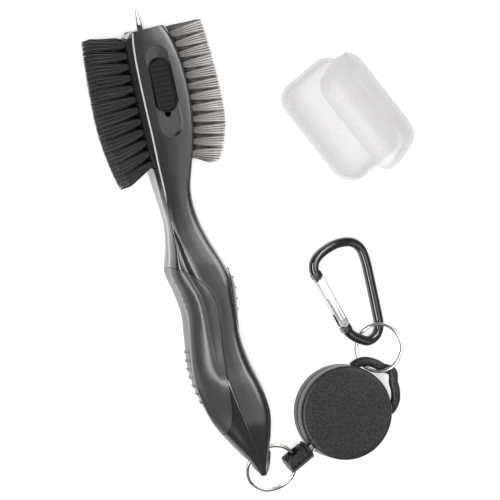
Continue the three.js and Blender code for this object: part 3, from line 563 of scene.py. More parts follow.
# %% lines along the body
# the head's ridge, then the crease between panel and thumb rest, then the line down to the tail's point
crease_at = through([
    (29.5, -7.9), (26, -8.5), (19, -9.1), (9, -9.3), (-2, -9.2), (-15, -8.9), (-28, -8.7), (-42, -8),
    (-52, -7.4), (-61, -6.1), (-68.7, -3.9), (-74.2, -2.4), (-79.2, -1.1), (-83.2, 1.4), (-88.2, 3),
    (-94, 3.5), (-100, 2.6), (-106, 1.7), (-113, 1.2), (-122, 1.1), (-130, 1.9), (-138, 3.6), (-146, 5.4),
    (-155, 7.6), (-166.4, 9.9),
])
# the head's ridge, which goes on as the crest of the hump and the thumb rest
ridge_at = through([
    (29.5, -7.9), (26, -8.5), (19, -9.1), (9, -9.3), (-2, -9.2), (-15, -8.9), (-28, -8.7), (-42, -8.1),
    (-52, -7.9), (-60, -7.8), (-66, -8.5), (-72, -8.7), (-78, -7.7), (-86, -5.8), (-96, -5.2), (-108, -4.8),
    (-120, -4.5), (-128, -3.3), (-137, -1.1), (-146, 1.9), (-155, 5.2), (-166.4, 9.2),
])
# the panel's right edge
edge_at = through([
    (29.5, 5.0), (27.5, 5.9), (23, 7.4), (15, 9), (5, 9.9), (-6, 9.6), (-16, 8.5), (-25, 6.7), (-33, 4.3),
    (-41, 2.2), (-48.6, 2), (-55.3, 2.9), (-64, 5.2), (-73, 8.4), (-82, 10.4), (-89, 10.2), (-96, 10.2),
    (-109.6, 9.7), (-120, 11.2), (-127, 13.3), (-134, 14.7), (-140, 15.2), (-147, 14.4), (-155, 13.1),
    (-166.4, 10.4),
])
print("panel's width in the middle of the head:", round(edge_at(0) - ridge_at(0), 1), "mm")

# %% [markdown]
# ### How the section changes along the handle
# A few more lines say how deep the crease is, where the thumb rest's crest runs and how upright the left
# side is. Near the tail the crest gives way to one slanted face. Each is a smooth function of y, so that
# the form flows.

# %% depths and shoulders
# how far the panel and the crease stand below the crest of the thumb rest
crease_depth_at = through([
    (29.5, 0.1), (0, 0), (-45, 0), (-58, 0.15), (-66, 0.45), (-74, 0.85), (-85, 1.2), (-100, 1.4),
    (-115, 1.4), (-126, 0.9), (-136, 0.4), (-145, 0.1), (-166.4, 0),
])
# how far right of the ridge the thumb rest's crest is, and how high its left shoulder stands, as a share
crest_offset_at = through([(29.5, 1), (-56, 0.6), (-66, 0.9), (-80, 1.4), (-100, 1.3), (-117, 0.8),
                           (-166.4, 0.8)])
shoulder_at = through([(29.5, 0.8), (-50, 0.84), (-58, 0.9), (-68, 0.9), (-76, 0.8), (-90, 0.74),
                       (-105, 0.78), (-117, 0.82), (-166.4, 0.8)])
# how far the panel's right edge stands below the panel
edge_drop_at = through([(29.5, 0.6), (-30, 0.6), (-48, 0.8), (-82, 0.8), (-120, 0.9), (-150, 1),
                        (-166.4, 0.6)])
# how upright the left side is, from 0 for round to 1 for a wall that mirrors the table
left_wall_at = through([(29.5, 1), (-35, 1), (-50, 0.6), (-60, 0.6), (-72, 0.9), (-100, 1), (-120, 0.8),
                        (-132, 0.45), (-145, 0), (-166.4, 0)])
# where the crest gives way to one slanted face between panel and left side, which mirrors the dark
fold_at = through([(29.5, 0), (-107, 0), (-114, 0.08), (-120, 0.38), (-126, 0.8), (-131, 1), (-150, 1),
                   (-160, 0.7), (-166.4, 0)])
# how high the left side's shoulder is where it is slanted
slant_at = through([(29.5, 0.2), (-126, 0.2), (-136, 0.34), (-146, 0.5), (-166.4, 0.5)])
# how soft the crease is
crease_round_at = through([(29.5, 0.3), (-50, 0.3), (-60, 0.8), (-66, 1), (-78, 1), (-90, 0.6), (-110, 0.3),
                           (-166.4, 0.3)])
print("crease's depth at y -100:", round(crease_depth_at(-100), 2), "mm")

# %% the corners of a section
SEAM_Z = 9.5                     # where the half shells meet
HEAD_FOOT = 1.7                  # the round between the head's sides and its back
FOLD_SLOPE = 0.8                 # of the slanted face
LEAST_CREST_GAP = 1.4            # between crest and crease
PANEL_CROWN = 0.12
ROUND = 0.516                    # where an octagon's corners stand for a full, slightly boxy oval
EDGE_SOFT_Y, EDGE_CRISP_Y = -112, -88


def head_corners(left, right, back, front, ridge, edge, drop):
    """The head's section, from the foot on its right round to the one on its left, as (x, z, roundness)."""
    return [
        (right - HEAD_FOOT, back, 1), (right, back + HEAD_FOOT, 1), (right, SEAM_Z, 1),
        (right, front - 3.8, 1), (right - 0.3, front - 1.8, 1),
        (edge, front - drop, 0.45), (mix(edge, ridge, 0.22), front + 0.1, 1),
        (mix(edge, ridge, 0.72), front - 0.08, 1), (ridge + 1.3, front - 0.32, 0.6),
        (ridge + 0.15, front - 0.42, 0.3), (ridge - 0.6, front - 0.7, 0.35),
        (mix(ridge, left, 0.62), front - 1.6, 1), (left, front - 2.4, 0.3),
        (left, SEAM_Z, 1), (left, back + HEAD_FOOT, 1), (left + HEAD_FOOT, back, 1),
    ]


def handle_corners(left, right, back, front, ridge, crease, edge, y):
    """The handle's section with as many corners, so that the head's can flow into it."""
    wall, fold = left_wall_at(y), fold_at(y)
    middle_x, half_x = (left + right) / 2, (right - left) / 2
    middle_z, half_z = (back + front) / 2, (front - back) / 2
    panel_z = front - crease_depth_at(y)
    edge_z = panel_z - edge_drop_at(y)
    edge_roundness = mix(0.9, 0.35, smoothstep(EDGE_SOFT_Y, EDGE_CRISP_Y, y))
    crest = min(ridge + crest_offset_at(y), crease - LEAST_CREST_GAP)
    crest_z = mix(front + 0.1, panel_z - FOLD_SLOPE * (crease - crest), fold)
    flank_z = mix(panel_z, crest_z, mix(0.3, 0.5, fold))
    low_z = middle_z - ROUND * half_z
    return [
        (middle_x + ROUND * half_x, back, 1), (right, low_z, 1), (right, middle_z, 1),
        (right, mix(middle_z, edge_z, 0.4), 1), (mix(right, edge, 0.38), mix(middle_z, edge_z, 0.76), 1),
        (edge, edge_z, edge_roundness), (mix(edge, crease, 0.3), panel_z + PANEL_CROWN, 1),
        (crease + 1.3, panel_z + PANEL_CROWN / 4, 1),
        (crease, panel_z, crease_round_at(y)), (mix(crease, crest, 0.48), flank_z, 1),
        (crest, crest_z, 1),
        (mix(crest, left, 0.6), middle_z + mix(shoulder_at(y), slant_at(y), fold) * half_z, 1),
        (mix(crest, left, 0.96), middle_z + mix(0.42, slant_at(y) - 0.3, fold) * half_z, 1),
        (left + 0.8 * wall, middle_z + mix(-0.15, 0.26, wall) * half_z, mix(1, 0.6, wall)),
        (mix(mix(left, middle_x, 0.08), left + 0.25, wall), mix(low_z, back + 2, wall), 1),
        (mix(middle_x - ROUND * half_x, left + 2.4, wall), back, 1),
    ]


# %% from corners to an outline
CORNER_POINTS = 7


def rounded(corners):
    """A closed outline through the middles of its corners' edges, each corner a curve of its own."""
    corners = np.asarray(corners, float)
    at, roundness = corners[:, :2], corners[:, 2:] / 2
    start = at + roundness * (np.roll(at, 1, 0) - at)
    end = at + roundness * (np.roll(at, -1, 0) - at)
    t = ((np.arange(CORNER_POINTS) + 0.5) / CORNER_POINTS)[None, :, None]
    curve = (1 - t) ** 2 * start[:, None] + 2 * t * (1 - t) * at[:, None] + t**2 * end[:, None]
    return curve.reshape(-1, 2)


print("points on one section:", CORNER_POINTS * len(head_corners(-1, 1, 0, 2, -0.5, 0.5, 0.1)))

# %% the ribs on both sides
LEFT_RIBS = [-108.5, -112.1, -115.7, -119.3, -122.9, -126.5, -130.3]
RIGHT_RIBS = [-77.5, -81.5, -85.9, -90.6, -95]
SIDE_RIB_WIDTH, SIDE_RIB_HEIGHT = 1.9, 0.75
RIB_TOP = [(-106.9, 10.4), (-132.2, 9.4)]    # y and z of both ends of the groove above the left ribs


def rib_top_at(y):
    (y0, z0), (y1, z1) = RIB_TOP
    return mix(z0, z1, (y - y0) / (y1 - y0))


def bars(y, places, width):
    """1 on the middle of the nearest bar, and 0 between bars."""
    nearest = min(abs(y - place) for place in places)
    return math.cos(min(nearest / width, 0.5) * math.pi) ** 2


def ribbed(x, z, y, left, right):
    """The raised ribs for finger and thumb on both sides of the rubber, as a shift in x."""
    if x < (left + right) / 2:
        top = rib_top_at(y) - 0.3
        fade = smoothstep(1.5, 3, z) * (1 - smoothstep(top - 0.8, top, z))
        return -SIDE_RIB_HEIGHT * bars(y, LEFT_RIBS, SIDE_RIB_WIDTH) * fade
    fade = smoothstep(3.5, 5, z) * (1 - smoothstep(12.5, 14, z))
    return SIDE_RIB_HEIGHT * bars(y, RIGHT_RIBS, SIDE_RIB_WIDTH) * fade


print("ribs at the left and the right:", len(LEFT_RIBS), len(RIGHT_RIBS))

# %% whole sections, and the loft through them
HEAD_END_Y, HANDLE_START_Y = -34, -62
END_LEAN = 0.11                  # how much further the head's end stands out at the front than at the back
LEAN_FROM_Y = 17
END_ROUND = 0.35
TAIL_ROUND = 1.3
THINNEST = 0.3


def end_inset(y):
    """How far the outer form draws in close to its ends, which rounds them."""
    inset = 0
    for distance, radius, share in ((TOP_Y - y, END_ROUND, 1), (y - TAIL_Y, TAIL_ROUND, 0.68)):
        if distance < radius:
            inset = radius * share * (1 - math.sqrt(1 - (1 - distance / radius) ** 2))
    return inset


def at_least(low, high, size):
    """Keeps two sides a little apart."""
    middle, half = (low + high) / 2, max((high - low) / 2, size / 2)
    return middle - half, middle + half


def body_ring(y, inset=0.0, with_ribs=False):
    """The body's outline at y, as points, drawn in by inset."""
    inset += end_inset(y)
    left, right = at_least(left_at(y) + inset, right_at(y) - inset, THINNEST)
    back, front = at_least(max(back_at(y), 0) + inset, front_at(y) - inset, THINNEST)
    ridge = min(max(ridge_at(y), left + 1.2 * inset), right)
    crease = min(max(crease_at(y), left + 1.2 * inset), right)
    edge = min(max(edge_at(y) - inset * 0.8, crease), right)
    head = np.array(head_corners(left, right, back, front, ridge, edge, edge_drop_at(y)))
    handle = np.array(handle_corners(left, right, back, front, ridge, crease, edge, y))
    share = smoothstep(-HEAD_END_Y, -HANDLE_START_Y, -y)
    outline = rounded(mix(head, handle, share))
    lean = END_LEAN * smoothstep(LEAN_FROM_Y, TOP_Y, y)
    return [(x + (ribbed(x, z, y, left, right) if with_ribs else 0),
             y - lean * (front - z) * (1 + 0.5 * smoothstep(ridge + 1, left, x)), z) for x, z in outline]


def body_loft(name, inset, from_y, to_y, step, with_ribs=False):
    """The body's form between two places, with closer sections where its ends are round."""
    ys = list(np.linspace(from_y, to_y, round((from_y - to_y) / step) + 1))
    if from_y == TOP_Y:
        ys += [TOP_Y - END_ROUND * share for share in (0.1, 0.3, 0.6, 1)]
    if to_y == TAIL_Y:
        ys += [TAIL_Y + TAIL_ROUND * share for share in (0.03, 0.1, 0.25, 0.45, 0.7, 1)]
    return loft(name, [body_ring(y, inset, with_ribs) for y in sorted(ys, reverse=True)])


print("the head's section is", round(right_at(0) - left_at(0), 1), "mm wide at y 0")

# %% [markdown]
# ### Cutting the shells and the rubber from one form
# Rubber is moulded onto the shells after them, so the two share one outer surface, and only a fine line
# shows between them. The rubber is therefore the outer form kept inside a plan outline, and the shells
# are the same form with a slightly wider and deeper pocket.

# %% outlines of the rubber
WALL, GAP, GRIP_DEPTH = 2.2, 0.3, 1.5
FINE_STEP, FLOOR_STEP, COARSE_STEP = 0.7, 1.5, 3
GRIP_ENDS = (4, TAIL_Y + 8)      # where the lofts that the rubber is cut from begin and end
GRIP_FLOOR_ENDS = (5, TAIL_Y + 6)
BELOW_Z, ABOVE_Z = -5, 30
GRIP_POINTS = 120                # along the drawn side of a grip's outline

LEFT_GRIP = [(-24, -69), (-14.6, -70.4), (-10.6, -72), (-6.4, -74.6), (-3.6, -77.3), (-0.8, -80.7),
             (1.7, -85), (2.9, -90), (3, -95), (2.3, -103), (1.3, -112), (0.6, -122), (0.5, -132),
             (0.1, -138), (-1.6, -143.2), (-4.4, -145.4), (-8, -145.6), (-24, -141)]
RIGHT_GRIP = [(24, -109), (13.4, -107), (11.7, -103.5), (10.9, -99), (10.9, -93), (11.4, -85), (12.4, -77),
              (13.6, -74.8), (24, -74)]


def widened(outline, clearance):
    """A plan outline moved outwards all round."""
    outline = np.asarray(outline, float)
    along = np.roll(outline, -1, 0) - np.roll(outline, 1, 0)
    normal = np.column_stack([along[:, 1], -along[:, 0]])
    normal /= np.linalg.norm(normal, axis=1, keepdims=True)
    middle = outline.mean(0)
    away = np.sign(((outline - middle) * normal).sum(1, keepdims=True))
    return outline + normal * away * clearance


def grip_outline(places):
    """The drawn side of a grip's outline as a smooth line. Its other side is beyond the body."""
    return smooth_path(places, GRIP_POINTS)


def grip(name, places):
    """A piece of rubber: the body's outer form inside an outline, less the form beneath it."""
    solid = body_loft(name, 0, *GRIP_ENDS, FINE_STEP / 2, with_ribs=True)
    floor = body_loft("floor", GRIP_DEPTH, *GRIP_FLOOR_ENDS, FLOOR_STEP)
    return keep(cut(solid, floor), prism("outline", grip_outline(places), BELOW_Z, ABOVE_Z))


def grip_pocket(places, clearance):
    """The room that it takes in the shells."""
    floor = body_loft("floor", GRIP_DEPTH + GAP, *GRIP_FLOOR_ENDS, FLOOR_STEP)
    return cut(prism("pocket", grip_outline(widened(places, clearance)), BELOW_Z, ABOVE_Z), floor)


print("thumb rest's length:", max(y for _, y in LEFT_GRIP) - min(y for _, y in LEFT_GRIP), "mm")

# %% dimples and the groove above the ribs
DIMPLES = [-77.9, -80.8, -83.5, -86.2, -88.9]
DIMPLE_Z, DIMPLE_RADIUS, DIMPLE_SUNK = 14.4, 0.8, 0.15
BALL_POINTS = 20
GROOVE_STEPS = 30
GROOVE_IN, GROOVE_OUT = 0.4, 1   # how far its tool reaches into the side and out of it


def left_side_x(y, z):
    """Where the body's left side stands at a height."""
    ring = body_ring(y)
    crossings = [mix(a[0], b[0], (z - a[2]) / (b[2] - a[2])) for a, b in zip(ring, ring[1:] + ring[:1])
                 if (a[2] - z) * (b[2] - z) < 0]
    return min(crossings)


def ball(name, radius, at):
    profile = [(radius * math.cos(angle) + 0.01, radius * math.sin(angle))
               for angle in np.linspace(-math.pi / 2, math.pi / 2, BALL_POINTS // 2)]
    return placed(plug_of(name, profile, BALL_POINTS), Matrix.Translation(at))


def grip_details(rest):
    """Five dimples high on the shoulder, and the groove along the top of the left ribs."""
    dimples = [ball("dimple", DIMPLE_RADIUS, (left_side_x(y, DIMPLE_Z) - DIMPLE_SUNK, y, DIMPLE_Z))
               for y in DIMPLES]
    groove = []
    for y in np.linspace(RIB_TOP[0][0], RIB_TOP[1][0], GROOVE_STEPS):
        z = rib_top_at(y)
        x = left_side_x(y, z)
        groove.append([(x - GROOVE_OUT, y, z - 0.22), (x + GROOVE_IN, y, z - 0.16),
                       (x + GROOVE_IN, y, z + 0.16), (x - GROOVE_OUT, y, z + 0.22)])
    return cut(rest, *dimples, loft("groove", groove))


print("left side at the first dimple: x", round(left_side_x(DIMPLES[0], DIMPLE_Z), 2))


# %% [markdown]
# ### What the shells leave room for
# The thumb slide runs in a scooped recess with a slot in its floor. Each bristle block takes a room of
# its own in the head, the spike a hole through the head's end, and the split ring a slanted hole through
# the tail.

# %% the recess and the rooms
def stadium(x, low_y, high_y, width, steps):
    """A plan outline with round ends."""
    r = width / 2
    angles = np.linspace(0, math.pi, steps)
    top = [(x + r * math.cos(a), high_y - r + r * math.sin(a)) for a in angles]
    bottom = [(x - r * math.cos(a), low_y + r - r * math.sin(a)) for a in angles]
    return top + bottom


BUTTON_X = -0.15
RECESS_Y = (-17.4, 22.1)
RECESS_WIDTH = 10.2
RECESS_STEP = 0.15               # how far down its sides are upright
RECESS_DEPTH = (1.9, 0.3)        # at the lower and the upper end
RECESS_TAPER = 0.1
ROUND_END_STEPS = 20
OVER_SHELL = 2
BLOCK_Y = (-28.6, 26.6)
BLOCK_END_LEAN = 0.7             # how much lower its upper end is at the back
BLOCK_Z = (0.9, 16.2)


def recess_ring(depth_at, inset=0.0):
    """The recess's outline, at a depth under the head's front."""
    low, high = RECESS_Y
    return [(x, y, front_at(y) - RECESS_STEP - depth_at((y - low) / (high - low)))
            for x, y in stadium(BUTTON_X, low + inset, high - inset, RECESS_WIDTH - 2 * inset,
                                ROUND_END_STEPS)]


def recess_tool():
    """The thumb slide's recess: a scoop whose floor is shallow at the top end and deepest at the other."""
    return loft("recess", [recess_ring(lambda share: mix(*RECESS_DEPTH, share), RECESS_TAPER),
                           recess_ring(lambda share: 0), recess_ring(lambda share: -OVER_SHELL)])


def block_room(inner_x, beyond_x, clearance=0.0):
    """The room that a bristle block takes. Its upper end follows the lean of the head's end."""
    low_x, high_x = sorted((inner_x - math.copysign(clearance, inner_x), beyond_x))
    low_y, high_y = BLOCK_Y[0] - clearance, BLOCK_Y[1] + clearance
    levels = ((BLOCK_Z[0] - clearance, high_y - BLOCK_END_LEAN), (BLOCK_Z[1] + clearance, high_y))
    return loft("room", [[(low_x, low_y, z), (high_x, low_y, z), (high_x, y, z), (low_x, y, z)]
                         for z, y in levels])


print("room for a block:", round(BLOCK_Y[1] - BLOCK_Y[0], 1), "mm long")

# %% the shells
HOLLOW_Y = (24.5, -146)
SLOT_Y, SLOT_WIDTH, SLOT_END_STEPS, SLOT_FLOOR_Z = (-8.9, 12.6), 2.6, 12, 11
NYLON_INNER_X, WIRE_INNER_X = -6.6, 4.7
NYLON_BEYOND_X, WIRE_BEYOND_X = -20, 20
SPIKE_X, SPIKE_Z, SPIKE_RADIUS = -1.6, 6.2, 1.25
SEAT_RADIUS, SEAT_END_Y = 3.1, 27.6          # of the guide bush
INSIDE_Y, OUTSIDE_Y = 20, 35
TAIL_HOLE = Vector((9.5, -156.3, 9.3))
TAIL_HOLE_AXIS = Vector((0.8, 0.48, 0.34)).normalized()
TAIL_HOLE_RADIUS, TAIL_HOLE_HALF = 3.4, 14
AROUND_LOW, AROUND_HIGH = (-40, -200), (40, 60)


def shell_holes():
    """What is taken out of the body's form before it is parted."""
    reach = TAIL_HOLE_AXIS * TAIL_HOLE_HALF
    return [body_loft("hollow", WALL, *HOLLOW_Y, COARSE_STEP),
            block_room(NYLON_INNER_X, NYLON_BEYOND_X, GAP), block_room(WIRE_INNER_X, WIRE_BEYOND_X, GAP),
            rod("exit", SPIKE_RADIUS + 2 * GAP,
                (SPIKE_X, INSIDE_Y, SPIKE_Z), (SPIKE_X, OUTSIDE_Y, SPIKE_Z)),
            rod("seat", SEAT_RADIUS, (SPIKE_X, INSIDE_Y, SPIKE_Z), (SPIKE_X, SEAT_END_Y, SPIKE_Z)),
            rod("tail_hole", TAIL_HOLE_RADIUS, TAIL_HOLE - reach, TAIL_HOLE + reach),
            grip_pocket(LEFT_GRIP, GAP * 0.8), grip_pocket(RIGHT_GRIP, GAP * 1.4)]


def make_shells():
    back = cut(body_loft("back_half", 0, TOP_Y, TAIL_Y, FINE_STEP), *shell_holes())
    front = copy_of(back, "front_half")
    keep(front, block("above", (*AROUND_LOW, SEAM_Z + GAP / 2), (*AROUND_HIGH, ABOVE_Z)))
    slot = prism("slot", stadium(BUTTON_X, *SLOT_Y, SLOT_WIDTH, SLOT_END_STEPS), SLOT_FLOOR_Z, ABOVE_Z)
    cut(front, recess_tool(), slot)
    keep(back, block("below", (*AROUND_LOW, BELOW_Z), (*AROUND_HIGH, SEAM_Z - GAP / 2)))
    return front, back


front_half, back_half = make_shells()
dressed(front_half, "brush", shell_plastic, ["front_shell"], crease=28)
dressed(back_half, "brush", shell_plastic, ["back_shell"], crease=28)

# %% the rubber
dressed(grip_details(grip("thumb_rest", LEFT_GRIP)), "brush", grip_rubber,
        ["left_grip"], crease=40)
dressed(grip("finger_pad", RIGHT_GRIP), "brush", grip_rubber, ["right_grip"], crease=40)

# %% [markdown]
# ## The bristle blocks
# Each side of the head has a block let into it, drilled with four rows of twelve holes, and each hole
# holds one tuft. The block's outer face carries on the head's form, so it is cut from the same loft. All
# its holes are made as one mesh of short rods and cut in one go, which is much faster than one Boolean
# for each.


# %% bundles of rods
def bundle(name, spines, radii, sides):
    """Many rods that run roughly along X, as one mesh. A spine holds the points of one rod."""
    spines = np.asarray(spines, float)
    count, rings, _ = spines.shape
    offsets = np.zeros((rings, sides, 3))
    offsets[:, :, 1:] = np.asarray(radii, float)[:, None, None] * circle(sides, 0.4)
    points = spines[:, :, None, :] + offsets
    faces = []
    for i in range(count):
        faces += loft_faces(rings, sides, first=i * rings * sides)
    return new_piece(name, points.reshape(-1, 3), faces)


# %% where the tufts stand
ROWS = 4
TUFTS = 12
ROOT_Z, ROOT_PITCH = 2.8, 3.85   # lowest row and distance between rows, at the roots
TIP_Z, TIP_PITCH = 2.1, 4.9      # and at the tips
HOLE_RADIUS = 1.3

NYLON = SimpleNamespace(
    inner_x=NYLON_INNER_X, beyond_x=NYLON_BEYOND_X, floor_x=-9.9, side_at=left_at, root_y=(24.6, -26.6),
    tip_y=(28.2, -31), tip_x=-28.08, bow=1.6, top_share=0.8, end_share=2.6, middle=0.5,
    tip_half_y=2.8, hidden_half_y=2.8)
WIRE = SimpleNamespace(
    inner_x=WIRE_INNER_X, beyond_x=WIRE_BEYOND_X, floor_x=6.3, side_at=right_at, root_y=(24.4, -26.4),
    tip_y=(25.4, -29.2), tip_x=24.3, bow=-1.2, top_share=1, end_share=7, middle=0.62,
    tip_half_y=2.5, hidden_half_y=2.95)


def tip_x_at(side, share):
    """The rows of tips bow: the middle ones reach out further than the ends."""
    end_share = side.end_share if share > side.middle else side.top_share
    return side.tip_x + side.bow * end_share * (2 * (share - side.middle)) ** 2


print("tufts on each side:", ROWS * TUFTS)

# %% the blocks
HOLE_SIDES = 14


def bristle_block(name, side):
    solid = keep(body_loft(name, 0, TOP_Y, BLOCK_Y[0] - 5, FINE_STEP),
                 block_room(side.inner_x, side.beyond_x))
    places = [(mix(*side.root_y, tuft / (TUFTS - 1)), ROOT_Z + row * ROOT_PITCH)
              for row in range(ROWS) for tuft in range(TUFTS)]
    holes = [[(x, y, z) for x in sorted((side.floor_x, side.beyond_x))] for y, z in places]
    return cut(solid, bundle("holes", holes, (HOLE_RADIUS, HOLE_RADIUS), HOLE_SIDES))


for name, side, node in (("nylon_holder", NYLON, "nylon_block"), ("wire_holder", WIRE, "wire_block")):
    dressed(bristle_block(name, side), "brush", block_plastic, [node])

# %% [markdown]
# ## The bristles
# A tuft on the real brush is a bundle of straight filaments, folded over a staple in its hole and trimmed
# after it is set. Hair particles would do for a picture, but not for a mesh that others reuse, so every
# filament is a thin rod. It comes straight out of its hole, then heads for its own place in the tuft's
# spread tip. Tips are trimmed along one smooth curve, with a little unevenness left over.


# %% finish of the filaments
def filament(name, low, high, roughness):
    """Each strand has a tone of its own, and its colour is painted darker down in the tuft as shade, where
    little light comes.
    """
    look = Look(name)
    strand = look.node("ShaderNodeAttribute", {"attribute_name": "strand"}, output="Fac")
    reach = look.node("ShaderNodeAttribute", {"attribute_name": "reach"}, output="Fac")
    wear = look.noise(4, 2)
    share = strand * 0.8 + wear * 0.3 - 0.1
    return look.finish({
        # the band of reach paints the colour darker towards the roots, as shade
        "Base Color": look.colours(share * look.band(reach, 0.1, 0.75, 0.12, 1.0), low, high),
        "Roughness": roughness + wear * 0.1,
    })


nylon_bristle = filament("nylon_bristle", (0.003, 0.003, 0.0032), (0.075, 0.075, 0.078), 0.36)
wire_bristle = filament("wire_bristle", (0.09, 0.083, 0.076), (0.92, 0.885, 0.86), 0.45)
print("filament finishes:", nylon_bristle.name, wire_bristle.name)

# %% [markdown]
# ### How a tuft fans out
# Seen from the front, one row of tufts covers the three rows beneath it. Those fan out sooner and wider,
# so that they close the gaps between the top row's tufts, and their colour is painted darker as shade,
# because little light reaches them.

# %% one filament
HOLE_FILL = 1.08                 # how far from a hole's middle its outermost filaments are
TIP_HALF_Z = 2.05
TRIM = 0.4
SPREAD = 0.62                    # below 1, a tuft is wide early on and then runs straight
HIDDEN_SPREAD = (0.3, 0.08, 0.08)   # the rows under the top one, which close the gaps between its tufts
HIDDEN_PAINTED_SHADE_REACH = 0.7               # which paints their colour darker, as shade
ROW_SHIFT = 0.85                 # how much nearer the tail each row's tips are than those above
ALONG = (0, 0.06, 0.25, 0.55, 0.94, 1)   # where along its free length a filament has points


def filament_line(side, row, tuft, a, b):
    """One filament. a and b, from -1 to 1, are its place in the tuft along the head and across it."""
    share = tuft / (TUFTS - 1)
    root_y, root_z = mix(*side.root_y, share), ROOT_Z + row * ROOT_PITCH
    y = root_y + a * math.sqrt(1 - b * b / 2) * HOLE_FILL
    z = root_z + b * math.sqrt(1 - a * a / 2) * HOLE_FILL
    lower = ROW_SHIFT * (ROWS - 1 - row)
    centre_y, centre_z = mix(*side.tip_y, share) - lower, TIP_Z + row * TIP_PITCH
    half_y = side.tip_half_y if row == ROWS - 1 else side.hidden_half_y
    tip_y, tip_z = centre_y + a * half_y, centre_z + b * TIP_HALF_Z
    tip_share = (tip_y + lower - side.tip_y[0]) / (side.tip_y[1] - side.tip_y[0])
    tip_x = tip_x_at(side, tip_share) - math.copysign(rng.uniform(0, TRIM), side.tip_x)
    mouth_x = side.side_at(root_y)
    points = [(side.floor_x, y, z)]
    for s in ALONG:
        fan = s ** (*HIDDEN_SPREAD, SPREAD)[row]
        points.append((mix(mouth_x, tip_x, s),
                       mix(root_y, centre_y, s) + mix(y - root_y, tip_y - centre_y, fan),
                       mix(root_z, centre_z, s) + mix(z - root_z, tip_z - centre_z, fan)))
    return points


print("points along a filament:", len(ALONG) + 1)

# %% rows of tufts
FILAMENT_SIDES = 5
TIP_TAPER = 0.35


def filament_row(name, side, row, along, across, radius):
    """A row of tufts of along times across filaments. Each filament has its own tone, and a reach that
    paints its colour darker towards the root, as shade.
    """
    def place(i, count, stray):
        return (i + 0.5 + rng.uniform(-stray, stray)) / count * 2 - 1

    lines = [filament_line(side, row, tuft, place(i, along, 0.1), place(j, across, 0.3))
             for tuft in range(TUFTS) for i in range(along) for j in range(across)]
    radii = [radius] * len(ALONG) + [radius * TIP_TAPER]
    piece = bundle(name, lines, radii, FILAMENT_SIDES)
    shades = [(0.12 + 0.7 * (i % 2) + rng.uniform(-0.12, 0.18)) for _ in range(TUFTS) for i in range(along)
              for _ in range(across)]
    points = len(radii) * FILAMENT_SIDES
    strand = piece.data.attributes.new("strand", "FLOAT", "POINT")
    strand.data.foreach_set("value", np.repeat(shades, points))
    # reach runs from root to tip, cut short in the hidden rows: the material turns it into painted shade
    reach = piece.data.attributes.new("reach", "FLOAT", "POINT")
    depth = 1 if row == ROWS - 1 else HIDDEN_PAINTED_SHADE_REACH
    reach.data.foreach_set("value", np.tile(np.repeat((0, *ALONG), FILAMENT_SIDES), len(lines)) * depth)
    return piece


for row in range(ROWS):
    dressed(filament_row(f"nylon_row_{row + 1}", NYLON, row, 7, 5, 0.23),
            "brush", nylon_bristle, [f"nylon_tuft_row_{row + 1}"], crease=80)
    dressed(filament_row(f"wire_row_{row + 1}", WIRE, row, 9, 5, 0.16),
            "brush", wire_bristle, [f"wire_tuft_row_{row + 1}"], crease=80)

# %% [markdown]
# ## Metal finishes
# The spike and the split rings are bright nickel, the gate is bare aluminium and the carabiner's frame is
# black anodised, which is metal under a dark clear skin. Polished metal has no colour of its own to vary,
# so fine scratches and a slight unevenness in the roughness do the work.


# %% finishes of metal
def bright_metal(name, low, high, roughness, scratches=(1, 1, 1)):
    """Polished or brushed metal. The scratches run along the axis with the smallest value."""
    look = Look(name)
    haze = look.noise(3, 3)
    scratch = look.noise(0.12, 2, look.stretched(scratches))
    return look.finish({
        "Base Color": look.colours(haze, low, high), "Metallic": 1.0,
        "Roughness": roughness + haze * 0.08 + scratch * 0.06,
        "Normal": look.bump(scratch, 0.0008),
    })


def anodised(name):
    """Black under a clear, glossy skin."""
    look = Look(name)
    haze = look.noise(5, 2)
    grain = look.noise(0.2, 2)
    return look.finish({
        "Base Color": look.colours(haze, (0.008, 0.008, 0.009), (0.014, 0.014, 0.015)),
        "Roughness": 0.1 + haze * 0.06, "Normal": look.bump(grain, 0.0004),
        "Coat Weight": 1.0, "Coat Roughness": 0.03, "Specular IOR Level": 0.45,
    })


bright_nickel = bright_metal("bright_nickel", (0.66, 0.64, 0.61), (0.78, 0.76, 0.73), 0.14)
gate_aluminium = bright_metal("gate_aluminium", (0.5, 0.51, 0.52), (0.62, 0.63, 0.64), 0.2, (1, 0.06, 1))
spike_nickel = bright_metal("spike_nickel", (0.42, 0.405, 0.38), (0.52, 0.505, 0.48), 0.14)
spring_steel = bright_metal("spring_steel", (0.38, 0.39, 0.41), (0.5, 0.51, 0.53), 0.24, (0.05, 1, 1))
black_anodised = anodised("black_anodised")
print("metal finishes made; materials so far:", len(bpy.data.materials))

# %% [markdown]
# ## The groove spike
# A hardened pin with a long point, turned on a lathe. It is turned here too: a profile carried round its
# axis.

# %% spike
Z_TO_Y = Matrix.Rotation(math.radians(-90), 4, "X")
Z_TO_X = Matrix.Rotation(math.radians(90), 4, "Y")
SPIKE_REAR_Y, SPIKE_TIP_Y = 11.8, 38.9
CONE_LENGTH = 9

cone = [(SPIKE_RADIUS * (1 - share) ** 0.85 + 0.07, SPIKE_TIP_Y - CONE_LENGTH * (1 - share))
        for share in np.linspace(0.02, 1, 12)]
spike = plug_of("spike", [(1.0, SPIKE_REAR_Y), (SPIKE_RADIUS, SPIKE_REAR_Y + 0.3),
                          (SPIKE_RADIUS, SPIKE_TIP_Y - CONE_LENGTH)] + cone, 48)
placed(spike, Matrix.Translation((SPIKE_X, 0, SPIKE_Z)) @ Z_TO_Y)
dressed(spike, "spike_slider", spike_nickel, ["groove_spike"])

# %% [markdown]
# ## The thumb button
# It is moulded in nearly black plastic. A rounded rim stands up all round, and nine narrow ribs inside
# it give the thumb its hold. Its stem reaches through the slot to the carriage, so the button moves with
# the spike.

